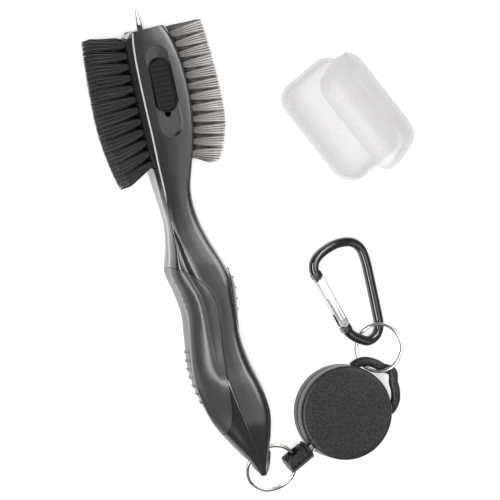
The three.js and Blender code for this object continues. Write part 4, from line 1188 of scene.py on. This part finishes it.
# %% button
BUTTON_Y = (-6.6, 16.4)
BUTTON_WIDTH = 8.8
BUTTON_LEVELS = [(0.15, 18.0), (0, 18.15), (0, 19.75), (0.1, 20.02), (0.3, 20.18), (0.55, 20.18),
                 (0.72, 20.0), (0.8, 19.75)]   # how far in from the outline, and the height
RIB_FIRST_Y, RIB_PITCH, RIB_COUNT = 12.9, 2.15, 9
RIB_LENGTH, RIB_ROOT_Z, RIB_TOP_Z = 6.4, 19.5, 20.12
RIB_ROOT_HALF, RIB_TOP_HALF = 0.5, 0.26
RIB_LEAN = math.radians(-3)
HOLLOW_RADIUS, HOLLOW_HALF_STRAIGHT = 3.55, 7.1     # of the button's face inside its rim
STEM_HALF, STEM_Y, STEM_Z = 1.0, (2, 12), (14.5, 18.5)


def button_rib(y):
    """A rib across the face, shorter where the rim's round ends come near it."""
    corners = [(-RIB_ROOT_HALF, RIB_ROOT_Z), (RIB_ROOT_HALF, RIB_ROOT_Z),
               (RIB_TOP_HALF, RIB_TOP_Z), (-RIB_TOP_HALF, RIB_TOP_Z)]
    into_end = max(abs(y - sum(BUTTON_Y) / 2) - HOLLOW_HALF_STRAIGHT, 0)
    half = min(RIB_LENGTH / 2, math.sqrt(max(HOLLOW_RADIUS**2 - into_end**2, 0)))
    rib = loft("rib", [[(x, side, z) for side, z in corners] for x in (-half, half)])
    return placed(rib, Matrix.Translation((BUTTON_X, y, 0)) @ Matrix.Rotation(RIB_LEAN, 4, "Z"))


def make_button():
    low, high = BUTTON_Y
    rings = []
    for inset, z in BUTTON_LEVELS:
        outline = stadium(BUTTON_X, low + inset, high - inset, BUTTON_WIDTH - 2 * inset, ROUND_END_STEPS)
        rings.append([(x, y, z) for x, y in outline])
    button = loft("thumb_button", rings)
    ribs = [button_rib(RIB_FIRST_Y - i * RIB_PITCH) for i in range(RIB_COUNT)]
    stem = block("stem", (BUTTON_X - STEM_HALF, STEM_Y[0], STEM_Z[0]),
                 (BUTTON_X + STEM_HALF, STEM_Y[1], STEM_Z[1]))
    return join(button, stem, *ribs)


dressed(make_button(), "spike_slider", button_plastic, ["slider_button"], crease=40)

# %% [markdown]
# ## The reel
# A retractable reel is a cup and a lid pressed together. The parting line shows as a groove round the
# rim, and a soft edge runs round the face. Its plastic has a fine leather-like grain, which the mould
# leaves. The lobed loop is cast on, and sticks out of the cup.

# %% finishes of reel and plug
def grained_plastic(name, low, high, grain_size, depth, roughness):
    """Black plastic with a leather grain: fine noise on a net of soft pebbles."""
    look = Look(name)
    grain = look.noise(grain_size, 3)
    pebble = look.node("ShaderNodeTexVoronoi", {"feature": "SMOOTH_F1"},
                       {"Vector": look.place(), "Scale": 1 / (grain_size * 1.4 * MM)})
    height = grain * 0.6 + pebble * 0.5
    return look.finish({
        "Base Color": look.colours(look.band(height, 0.35, 0.75), low, high),
        "Roughness": look.band(height, 0.3, 0.8, roughness - 0.06, roughness + 0.08),
        "Normal": look.bump(height, depth), "Specular IOR Level": 0.26,
    })


reel_plastic = grained_plastic("reel_plastic", (0.009, 0.009, 0.0095), (0.034, 0.034, 0.035),
                               0.55, 0.12, 0.34)
plug_plastic = grained_plastic("plug_plastic", (0.004, 0.004, 0.0045), (0.036, 0.036, 0.037),
                               0.8, 0.16, 0.36)
print("grained plastics:", reel_plastic.name, plug_plastic.name)

# %% housing and cover
REEL = Matrix.Translation((49.7, -148.7, 0)) @ Matrix.Rotation(math.radians(25), 4, "Z")
REEL_RADIUS, REEL_BORE = 19.7, 18.1
CUP_TOP_Z, LID_LOW_Z, REEL_HEIGHT = 6.3, 6.6, 13.5
REEL_FLOOR_Z, REEL_ROOF_Z = 1.5, 12.0
CORD_SIDE, CORD_Z = -2.7, 6.75
MOUTH_RADIUS = 2.5
CUP_PROFILE = [(18.9, 0), (19.35, 0.15), (19.62, 0.5), (REEL_RADIUS, 1.0), (REEL_RADIUS, 5.85),
               (19.6, 6.15), (19.4, CUP_TOP_Z)]
LID_PROFILE = [(19.4, LID_LOW_Z), (19.6, 6.75), (REEL_RADIUS, 7.05), (REEL_RADIUS, 11.9), (19.63, 12.45),
               (19.42, 12.9), (19.0, 13.2), (18.5, 13.38), (17.9, 13.47), (17.3, REEL_HEIGHT)]
LOOP_PATH = [(14.6, 12.4), (18.2, 11.9), (21.2, 10.0), (23.4, 7.0), (24.7, 3.9), (26.3, 1.8), (27, 0)]
LIP_PROFILE = [(17.2, 5.3), (17.8, 5.3), (17.8, 8), (18.4, 8), (18.4, 8.6), (17.2, 8.6)]
LOOP_Z = 6.2
LOOP_SECTION = (4.0, 3, 2.0, 20)
RIM_POINTS = 128
FAR_UP = 30


def rounded_section(width, depth, exponent, count):
    """A bar's section from an ellipse, at exponent 2, towards a box, as (sideways, up) pairs."""
    return [(math.copysign(abs(c) ** (2 / exponent), c) * width / 2,
             math.copysign(abs(s) ** (2 / exponent), s) * depth / 2)
            for c, s in circle(count, math.pi / count)]


def reel_mouth():
    """The hole in the rim that holds the cord's eyelet."""
    return rod("mouth", MOUTH_RADIUS, (-REEL_RADIUS - 4, CORD_SIDE, CORD_Z),
               (-REEL_RADIUS + 6, CORD_SIDE, CORD_Z))


def bore(radius, low, high, count=RIM_POINTS):
    return plug_of("bore", [(radius, low), (radius, high)], count)


def make_loop():
    """The lobed loop: a bar out from the cup and back, cleared from the cup's inside and from the lid."""
    mirrored = [(x, -y) for x, y in LOOP_PATH[-2::-1]]
    section = [(side, LOOP_Z + up) for side, up in rounded_section(*LOOP_SECTION)]
    loop = swept("loop", smooth_path(LOOP_PATH + mirrored, 120), section)
    return cut(loop, bore(REEL_BORE + 0.3, REEL_FLOOR_Z, FAR_UP, 96),
               bore(REEL_RADIUS + GAP, CUP_TOP_Z, FAR_UP))


def make_cup():
    cup = cut(plug_of("reel_cup", CUP_PROFILE, RIM_POINTS), bore(REEL_BORE, REEL_FLOOR_Z, 20))
    return placed(cut(join(cup, make_loop()), reel_mouth()), REEL)


def make_reel_lid():
    lid = cut(plug_of("reel_lid", LID_PROFILE, RIM_POINTS), bore(REEL_BORE, 0, REEL_ROOF_Z))
    return placed(cut(join(lid, turned("lip", LIP_PROFILE, RIM_POINTS)), reel_mouth()), REEL)


dressed(make_cup(), "reel", reel_plastic, ["reel_back_housing"], crease=38)
dressed(make_reel_lid(), "reel", reel_plastic, ["reel_front_cover"], crease=38)

# %% [markdown]
# ## The cord, its eyelet and its plug
# The cord is wound up inside, so at rest only a few millimetres of it show between the eyelet in the rim
# and the plug. It is braided, which a pattern of crossing ridges on a tube shows well at this size. When
# the reel is pulled away the cord grows out of it; here the tube only spans plug and reel at rest. The plug
# is turned, with a ring groove at its inner end and a cross hole for the split ring.

# %% sizes of cord, plug, collar and eyelet
CORD_LINE = REEL @ Matrix.Translation((0, CORD_SIDE, CORD_Z)) @ Z_TO_X
CORD_RADIUS, CORD_BORE = 0.9, 1.3
CORD_ENDS = (-25.6, -17.2)       # in the plug and in the reel, along the cord
CORD_ROOM_ENDS = (-25.9, -17)
PLUG_RADIUS = 4.25
PLUG_HOLE_X, PLUG_HOLE_RADIUS, PLUG_HOLE_HALF = -28.6, 2.2, 9
PLUG_PROFILE = [(3.5, -32.5), (4.0, -32.35), (4.2, -32.0), (PLUG_RADIUS, -31.6), (PLUG_RADIUS, -23.1),
                (4.0, -22.8)]
COLLAR_PROFILE = [(CORD_BORE, -22.5), (4.0, -22.5), (PLUG_RADIUS, -22.2), (PLUG_RADIUS, -21.5),
                  (4.05, -21.2), (CORD_BORE, -21.2)]
EYELET_PROFILE = [(CORD_BORE, -21), (2.6, -21), (2.9, -20.75), (2.9, -20.35), (2.75, -20.1), (2.2, -20.1),
                  (2.2, -17.6), (CORD_BORE, -17.6)]


def on_cord(x):
    """A place along the cord, from the reel's middle, in the object's frame."""
    return REEL @ Vector((x, CORD_SIDE, CORD_Z))


PLUG_HOLE = on_cord(PLUG_HOLE_X)
chord = PLUG_HOLE - TAIL_HOLE
print("tail hole to plug hole in mm:", round(chord.length, 2))

# %% the tail ring's place
TAIL_RING_RADIUS = 10.6
TAIL_RING_DROP = math.radians(24)
TAIL_RING_START = math.radians(12)
WIRE_BOW = 0.4


def ring_frame(centre, start, normal):
    """Where a ring drawn about Z goes: its middle, where its wire starts, and its axis."""
    turn = Matrix((start, normal.cross(start), normal)).transposed().to_4x4()
    return Matrix.Translation(centre) @ turn


def tail_ring_frame():
    """The ring passes through the tail's hole and the plug's, and slopes down to the table."""
    along = chord.normalized()
    aside = Vector((chord.y, -chord.x, 0)).normalized()
    downhill = aside * math.cos(TAIL_RING_DROP) - Vector((0, 0, math.sin(TAIL_RING_DROP)))
    normal = along.cross(downhill).normalized()
    inward = normal.cross(along)
    reach = math.sqrt((TAIL_RING_RADIUS - WIRE_BOW) ** 2 - (chord.length / 2) ** 2)
    centre = (TAIL_HOLE + PLUG_HOLE) / 2 + inward * reach
    start = Matrix.Rotation(TAIL_RING_START, 3, normal) @ inward
    return centre, start, normal


ring_centre, ring_start, ring_normal = tail_ring_frame()
wire_direction = ring_normal.cross(PLUG_HOLE - ring_centre).normalized()
print("tail ring's middle:", [round(v, 2) for v in ring_centre])


# %% shapes of plug and cord
BRAID_DEPTH = 0.12


def make_plug():
    plug = placed(plug_of("plug", PLUG_PROFILE, 64), CORD_LINE)
    reach = wire_direction * PLUG_HOLE_HALF
    return cut(plug, rod("cord_room", CORD_BORE, *map(on_cord, CORD_ROOM_ENDS)),
               rod("ring_room", PLUG_HOLE_RADIUS, PLUG_HOLE - reach, PLUG_HOLE + reach))


def make_cord():
    """A braided tube: two sets of ridges wind round it in opposite directions."""
    around, steps, strands, turns = 24, 60, 4, 7
    rings = []
    for share in np.linspace(0, 1, steps):
        x = mix(*CORD_ENDS, share)
        ring = []
        for angle in 2 * math.pi * np.arange(around) / around:
            twist = 2 * math.pi * turns * share
            weave = abs(math.cos((strands * angle + twist) / 2) * math.cos((strands * angle - twist) / 2))
            radius = CORD_RADIUS - BRAID_DEPTH * (1 - weave)
            ring.append((radius * math.cos(angle), radius * math.sin(angle), x))
        rings.append(ring)
    return placed(loft("cord", rings), CORD_LINE)


# %% finish of the cord
def braid():
    """Braided black nylon: diagonal bands, rough all over."""
    look = Look("cord_nylon")
    lay = look.node("ShaderNodeTexWave", {"wave_type": "BANDS", "bands_direction": "DIAGONAL"},
                    {"Vector": look.place(), "Scale": 0.25 / (0.3 * MM), "Distortion": 2.0})
    return look.finish({
        "Base Color": look.colours(lay.out("Fac"), (0.004, 0.004, 0.004), (0.018, 0.018, 0.018)),
        "Roughness": 0.75, "Normal": look.bump(lay.out("Fac"), 0.05), "Sheen Weight": 0.1,
    })


cord_nylon = braid()
print("cord's finish:", cord_nylon.name)

# %% plug, collar, eyelet and cord
dressed(make_plug(), "cord_plug", plug_plastic, ["cord_plug"], crease=38)
dressed(placed(turned("collar", COLLAR_PROFILE, 64), CORD_LINE), "cord_plug", plug_plastic,
        ["plug_collar"], crease=38)
dressed(placed(turned("eyelet", EYELET_PROFILE, 64), CORD_LINE), "reel", bright_nickel,
        ["cord_eyelet"], crease=38)
cord = make_cord()
cord.data.materials.append(cord_nylon)
cord.data.shade_smooth()
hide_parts("cord_lead")
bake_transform(cord)
print("cord between plug and reel:", len(cord.data.polygons), "faces, blended between the two")

# %% [markdown]
# ## The split rings
# A split ring is flat-sided wire wound into two touching turns, with a step where one turn climbs onto
# the other and its two ends lying in the gaps beside that step. Drawing the real coil costs no more than
# drawing a torus, and the bright double line that it shows is what makes it read as a key ring.

# %% a split ring
RING_SECTION = (1.3, 0.85, 3.2, 12)
COIL_PITCH = 0.95
FULL_TURN = 2 * math.pi
COIL_START, COIL_END = math.radians(24), 2 * FULL_TURN - math.radians(28)
CLIMB_HALF = math.radians(22)    # half of the turn in which the wire steps up
COIL_POINTS = 200


def split_ring(name, radius):
    """Two turns of wire about Z, the second one a step higher than the first."""
    rings = []
    for angle in np.linspace(COIL_START, COIL_END, COIL_POINTS):
        level = COIL_PITCH * (smoothstep(FULL_TURN - CLIMB_HALF, FULL_TURN + CLIMB_HALF, angle) - 0.5)
        rings.append([((radius + side) * math.cos(angle), (radius + side) * math.sin(angle), level + up)
                      for side, up in rounded_section(*RING_SECTION)])
    return loft(name, rings)


print("wire in one tail ring:", round((COIL_END - COIL_START) * TAIL_RING_RADIUS), "mm")

# %% both rings in their places
LOOP_RING_CENTRE = Vector((70.4, -126, 7.1))
LOOP_RING_RADIUS = 9.9
LOOP_RING_TILT = math.radians(35)
LOOP_RING_START = math.radians(-64)
LOOP_RING_AXIS = Vector((0.368, 0.93, 0)).normalized()
low_side = (Vector((-LOOP_RING_AXIS.y, LOOP_RING_AXIS.x, 0)) * math.cos(LOOP_RING_TILT)
            - Vector((0, 0, math.sin(LOOP_RING_TILT))))
loop_normal = LOOP_RING_AXIS.cross(low_side).normalized()
loop_start = Matrix.Rotation(LOOP_RING_START, 3, loop_normal) @ LOOP_RING_AXIS

tail_ring = placed(split_ring("tail_split_ring", TAIL_RING_RADIUS),
                   ring_frame(ring_centre, ring_start, ring_normal))
dressed(tail_ring, "tail_ring", bright_nickel, ["tail_ring"], crease=50)
loop_ring = placed(split_ring("loop_split_ring", LOOP_RING_RADIUS),
                   ring_frame(LOOP_RING_CENTRE, loop_start, loop_normal))
dressed(loop_ring, "loop_ring", bright_nickel, ["loop_ring"], crease=50)

# %% [markdown]
# ## The carabiner
# Its frame is one bent bar, anodised glossy black, so it is a section swept along a smooth path. Both of
# its ends are squared off into ribbed blocks. Between them is the gate, a bare aluminium bar with two
# fine grooves along its front. Its forked end turns on a rivet through a tongue of the frame.

# %% frame of the carabiner
CARABINER = Matrix.Translation((74, -106.75, 2.25)) @ Matrix.Rotation(math.radians(18), 4, "Y")
CARABINER_PATH = [
    (-16.0, -9.4), (-13.9, -11.9), (-10.6, -14.2), (-7.5, -15.7), (-4.3, -15.3), (-1.8, -13.6),
    (-0.4, -10.8), (0, -7), (0, 8.3), (-0.2, 16.7), (-1.1, 21.7), (-3.5, 25), (-7.2, 26.8),
    (-12.8, 27.3), (-18.6, 26.2),
    (-22.8, 24.5), (-25.2, 22.4), (-26.1, 19.8), (-25.7, 17.4),
]
GATE_PIVOT, GATE_TIP = Vector((-17.6, -5.2)), Vector((-25.1, 15.9))
GATE_WIDTH, GATE_THICKNESS = 4.1, 3.7
GATE_LENGTH = (GATE_TIP - GATE_PIVOT).length - 0.8
GATE_TURN = math.atan2(GATE_TIP.y - GATE_PIVOT.y, GATE_TIP.x - GATE_PIVOT.x)
AT_GATE = Matrix.Translation(GATE_PIVOT.to_3d()) @ Matrix.Rotation(GATE_TURN, 4, "Z")
TONGUE_THICKNESS, TONGUE_HALF_WIDTH = 1.5, 1.7
PIN_RADIUS = 0.7
BAR_SECTION = (4.2, 4, 2.4, 24)
END_HALF_WIDTH, END_HALF_HEIGHT, END_SOFTNESS = 2.1, 1.9, 0.6
END_GROOVES = (0.36, 0.7)
HINGE_END_X, TONGUE_ROOT_X = (-4.6, -1.3), -4.4     # along the gate, from its pivot
NOSE_X = (GATE_LENGTH + 0.45, GATE_LENGTH + 3.6)


def upright(name, radius, half=4.0, count=40):
    """A rod across the gate's pivot."""
    return rod(name, radius, (0, 0, -half), (0, 0, half), count)


def ribbed_block(low_x, high_x):
    """A squared end of the bar, drawn along the gate, with two fine grooves round it."""
    end = block("end", (low_x, -END_HALF_WIDTH, -END_HALF_HEIGHT),
                (high_x, END_HALF_WIDTH, END_HALF_HEIGHT))
    grooves = []
    for share in END_GROOVES:
        x = mix(low_x, high_x, share)
        grooves += [block("groove", (x - 0.16, -3, z - 0.14), (x + 0.16, 3, z + 0.14))
                    for z in (-END_HALF_HEIGHT, END_HALF_HEIGHT)]
    return cut(bevelled(end, END_SOFTNESS, 3), *grooves)


def gate_room():
    """The round room that the gate's forked end turns in."""
    return placed(upright("room", GATE_WIDTH / 2 + GAP), AT_GATE)


def make_frame():
    bar = swept("carabiner", smooth_path(CARABINER_PATH, 170), rounded_section(*BAR_SECTION))
    cut(bar, gate_room())
    hinge_end = cut(placed(ribbed_block(*HINGE_END_X), AT_GATE), gate_room())
    nose = placed(ribbed_block(*NOSE_X), AT_GATE)
    half = TONGUE_THICKNESS / 2
    tongue = join(block("tongue", (TONGUE_ROOT_X, -TONGUE_HALF_WIDTH, -half), (0, TONGUE_HALF_WIDTH, half)),
                  upright("tongue_end", TONGUE_HALF_WIDTH, half))
    join(bar, hinge_end, nose, placed(tongue, AT_GATE))
    return placed(cut(bar, placed(upright("pin_room", PIN_RADIUS + 0.1), AT_GATE)), CARABINER)


dressed(make_frame(), "carabiner", black_anodised, ["carabiner_frame"], crease=40)


# %% gate and rivet
GROOVE_PLACES, GROOVE_HALF = (-0.85, 0.85), 0.34
KNUCKLE_HALF = 1.8
FORK_LENGTH, FORK_HALF_WIDTH, FORK_CLEARANCE = 5.2, 6, 0.2
SPRING_ROOM_RADIUS, SPRING_ROOM_X = 0.85, (4.2, 12)
RIVET_PROFILE = [(0.35, -2.15), (0.6, -2.1), (PIN_RADIUS, -2.0), (PIN_RADIUS, 2.0), (0.6, 2.1),
                 (0.35, 2.15)]


def gate_section():
    """The gate's section: rounded sides, and a flat front and back with fine grooves along them."""
    face = []
    for place in GROOVE_PLACES:
        face += [(place - GROOVE_HALF, 0), (place, -GROOVE_HALF), (place + GROOVE_HALF, 0)]
    side = GATE_WIDTH / 2
    edge = [(side - 0.7, 0), (side - 0.25, -0.18), (side - 0.04, -0.6)]
    half = [(-x, d) for x, d in edge[::-1]] + face + edge
    top = GATE_THICKNESS / 2
    return [(x, top + d) for x, d in half] + [(-x, -top - d) for x, d in half]


def make_gate():
    bar = loft("gate_bar", [[(x, side, up) for side, up in gate_section()] for x in (-0.1, GATE_LENGTH)])
    bevelled(bar, 0.12, 2, 60)
    join(bar, upright("knuckle", GATE_WIDTH / 2 - 0.05, KNUCKLE_HALF, 48))
    fork_half = TONGUE_THICKNESS / 2 + FORK_CLEARANCE
    cut(bar, block("fork", (-FORK_LENGTH, -FORK_HALF_WIDTH, -fork_half),
                   (FORK_LENGTH, FORK_HALF_WIDTH, fork_half)),
        rod("spring_room", SPRING_ROOM_RADIUS, *((x, 0, 0) for x in SPRING_ROOM_X)),
        upright("pin_room", PIN_RADIUS + 0.1))
    return placed(bar, CARABINER @ AT_GATE)


dressed(make_gate(), "gate", gate_aluminium, ["carabiner_gate"], crease=40)
dressed(placed(plug_of("rivet", RIVET_PROFILE, 32), CARABINER @ AT_GATE), "carabiner",
        spring_steel, ["gate_pin"])

# %% [markdown]
# ## The bristle cover
# A clear cover of soft, frosted plastic goes over the bristles, and lies open beside the brush. It is a
# tray and a domed lid on two moulded hinges. Both are thin shells between an outer and an inner loft of
# one rounded rectangle. Frosted plastic lets light through but no clear picture, so it is partly
# see-through and rather matt.

# %% finish of the cover
def frosted(name):
    """Milky and partly see-through, denser where it is seen edge on, with a faint painted glow that
    lightens it all over.
    """
    look = Look(name)
    cloud = look.noise(14, 2)
    frost = look.noise(0.4, 3)
    grazing = look.node("ShaderNodeLayerWeight", None, {"Blend": 0.35}, output="Facing")
    return look.finish({
        "Base Color": look.colours(cloud, (0.35, 0.34, 0.35), (0.39, 0.38, 0.39)),
        "Roughness": 0.5 + frost * 0.15, "Normal": look.bump(frost, 0.008),
        "Alpha": look.band(cloud, 0.3, 0.7, 0.42, 0.47) + grazing * 0.35,
        # the emission is painted light: the plastic gives none, and it only lightens the cover evenly
        "Emission Color": (1.0, 0.975, 1.0, 1), "Emission Strength": 0.3, "Specular IOR Level": 0.25,
    })


frosted_plastic = frosted("frosted_plastic")
print("cover's finish:", frosted_plastic.name)

# %% sizes of tray, lid and hinge
COVER_LENGTH, COVER_WIDTH, COVER_CORNER, LEAST_CORNER = 49, 31, 8, 1.2
CORNER_STEPS = 12
TRAY_HEIGHT = 12
LID_RIM_Z = TRAY_HEIGHT + GAP
HINGE_Y, HINGE_Z = COVER_WIDTH / 2 + 2.1, TRAY_HEIGHT + GAP / 2
HINGE_RADIUS = 1.6
HINGE_HOLE_RADIUS, HINGE_HOLE_HALF = 0.85, 26
LID_KNUCKLE_X, TRAY_KNUCKLE_X = (17.2, 21.4), (13.3, 16.9)
LID_WEB_Y, TRAY_WEB_Y = COVER_WIDTH / 2 - 6, COVER_WIDTH / 2 - 0.6
WEB_OFF_MIDDLE = 0.5             # how far each web keeps from the height of the pin
SWEEP_IN, SWEEP_HEIGHT = 2, 3    # the tray's edge between its knuckles, where the lid swings past
COVER = Matrix.Translation((74.4, -28.7, 0)) @ Matrix.Rotation(math.radians(-63.8), 4, "Z")
LID_TURN = Matrix.Rotation(math.radians(-47), 4, "X")
LID = (COVER @ Matrix.Translation((0, HINGE_Y, HINGE_Z)) @ LID_TURN
       @ Matrix.Translation((0, -HINGE_Y, -HINGE_Z)))

# heights with how far in from the full outline
TRAY_OUTSIDE = [(0, 2.0), (0.15, 1.4), (0.7, 0.75), (1.5, 0.3), (2.6, 0), (10.6, 0), (11.0, 0.25),
                (12, 0.25)]
TRAY_INSIDE = [(1.2, 3.4), (1.3, 2.6), (1.8, 1.9), (2.6, 1.45), (3.6, 1.3), (17, 1.3)]
LID_OUTSIDE = [(0, 0.25), (1.0, 0.25), (1.4, 0), (5.6, 0.38), (6.6, 1.03), (7.4, 1.74), (7.95, 2.53),
               (8.3, 3.6), (8.65, 6), (9, 9.5)]
LID_INSIDE = [(-5, 1.3), (3.4, 1.4), (4.8, 1.8), (5.9, 2.6), (6.7, 3.8), (7.25, 5.4), (7.6, 7.2)]
print("closed cover's height:", LID_RIM_Z + LID_OUTSIDE[-1][0], "mm")


# %% forms of the cover
def cover_outline(inset):
    """The cover's rounded rectangle, drawn in by inset."""
    r = max(COVER_CORNER - inset, LEAST_CORNER)
    x0, y0 = COVER_LENGTH / 2 - inset - r, COVER_WIDTH / 2 - inset - r
    outline = []
    for corner, (x, y) in enumerate([(x0, y0), (-x0, y0), (-x0, -y0), (x0, -y0)]):
        for k in range(CORNER_STEPS + 1):
            angle = math.pi / 2 * (corner + k / CORNER_STEPS)
            outline.append((x + r * math.cos(angle), y + r * math.sin(angle)))
    return outline


def cover_form(name, levels, base=0.0):
    return loft(name, [[(x, y, base + z) for x, y in cover_outline(inset)] for z, inset in levels])


def hinge_rod(name, radius, low, high):
    return rod(name, radius, (low, HINGE_Y, HINGE_Z), (high, HINGE_Y, HINGE_Z))


def hinge_hole():
    return hinge_rod("pin_room", HINGE_HOLE_RADIUS, -HINGE_HOLE_HALF, HINGE_HOLE_HALF)


def hinge_parts(span, web_y, web_z):
    """A knuckle and its web at both ends of the hinge."""
    made = []
    for side in (-1, 1):
        low, high = sorted((side * span[0], side * span[1]))
        made += [hinge_rod("knuckle", HINGE_RADIUS, low, high),
                 block("web", (low, web_y, web_z[0]), (high, HINGE_Y, web_z[1]))]
    return made


print("points round the cover:", len(cover_outline(0)))


# %% tray and lid
def make_tray():
    tray = join(cover_form("tray", TRAY_OUTSIDE),
                *hinge_parts(TRAY_KNUCKLE_X, TRAY_WEB_Y,
                             (HINGE_Z - HINGE_RADIUS, HINGE_Z - WEB_OFF_MIDDLE)))
    lid_sweep = block("lid_sweep", (-COVER_LENGTH / 2, COVER_WIDTH / 2 - SWEEP_IN, TRAY_HEIGHT),
                      (COVER_LENGTH / 2, HINGE_Y - HINGE_RADIUS, TRAY_HEIGHT + SWEEP_HEIGHT))
    return placed(cut(tray, cover_form("inside", TRAY_INSIDE), lid_sweep, hinge_hole()), COVER)


def make_lid():
    lid = join(cover_form("lid", LID_OUTSIDE, LID_RIM_Z),
               *hinge_parts(LID_KNUCKLE_X, LID_WEB_Y,
                            (HINGE_Z + WEB_OFF_MIDDLE, HINGE_Z + HINGE_RADIUS)))
    return placed(cut(lid, cover_form("inside", LID_INSIDE, LID_RIM_Z), hinge_hole()), LID)


dressed(make_tray(), "cover_tray", frosted_plastic, ["cover_tray"], crease=50)
dressed(make_lid(), "cover_lid", frosted_plastic, ["cover_lid"], crease=50)

# %% [markdown]
# ## The pieces inside
# The carriage, the spring that clicks under it, the guide bush, the reel's works and the hinge pins are
# plain turned or moulded parts. Their CAD shapes are right, so they stay, and only their finish is made
# here.


# %% finishes of the pieces inside
def moulded_white(name):
    """Waxy, slightly yellow acetal."""
    look = Look(name)
    cloud = look.noise(5, 2)
    return look.finish({"Base Color": look.colours(cloud, (0.66, 0.65, 0.61), (0.76, 0.75, 0.72)),
                        "Roughness": 0.38 + cloud * 0.12, "Normal": look.bump(look.noise(0.5, 2), 0.01)})


acetal = moulded_white("acetal")
print("last finish:", acetal.name)

# %% CAD nodes that stay
KEPT = {
    "slider_carriage": acetal, "spike_guide": acetal, "detent_leaf": spring_steel, "reel_spool": acetal,
    "reel_axle": spring_steel, "reel_spring": spring_steel, "cord_wound": cord_nylon,
    "gate_spring": spring_steel, "cover_pin_near": frosted_plastic, "cover_pin_far": frosted_plastic,
}
for node, look in KEPT.items():
    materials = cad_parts[node].data.materials
    materials.clear()
    materials.append(look)
print("CAD nodes that stay:", len(KEPT))
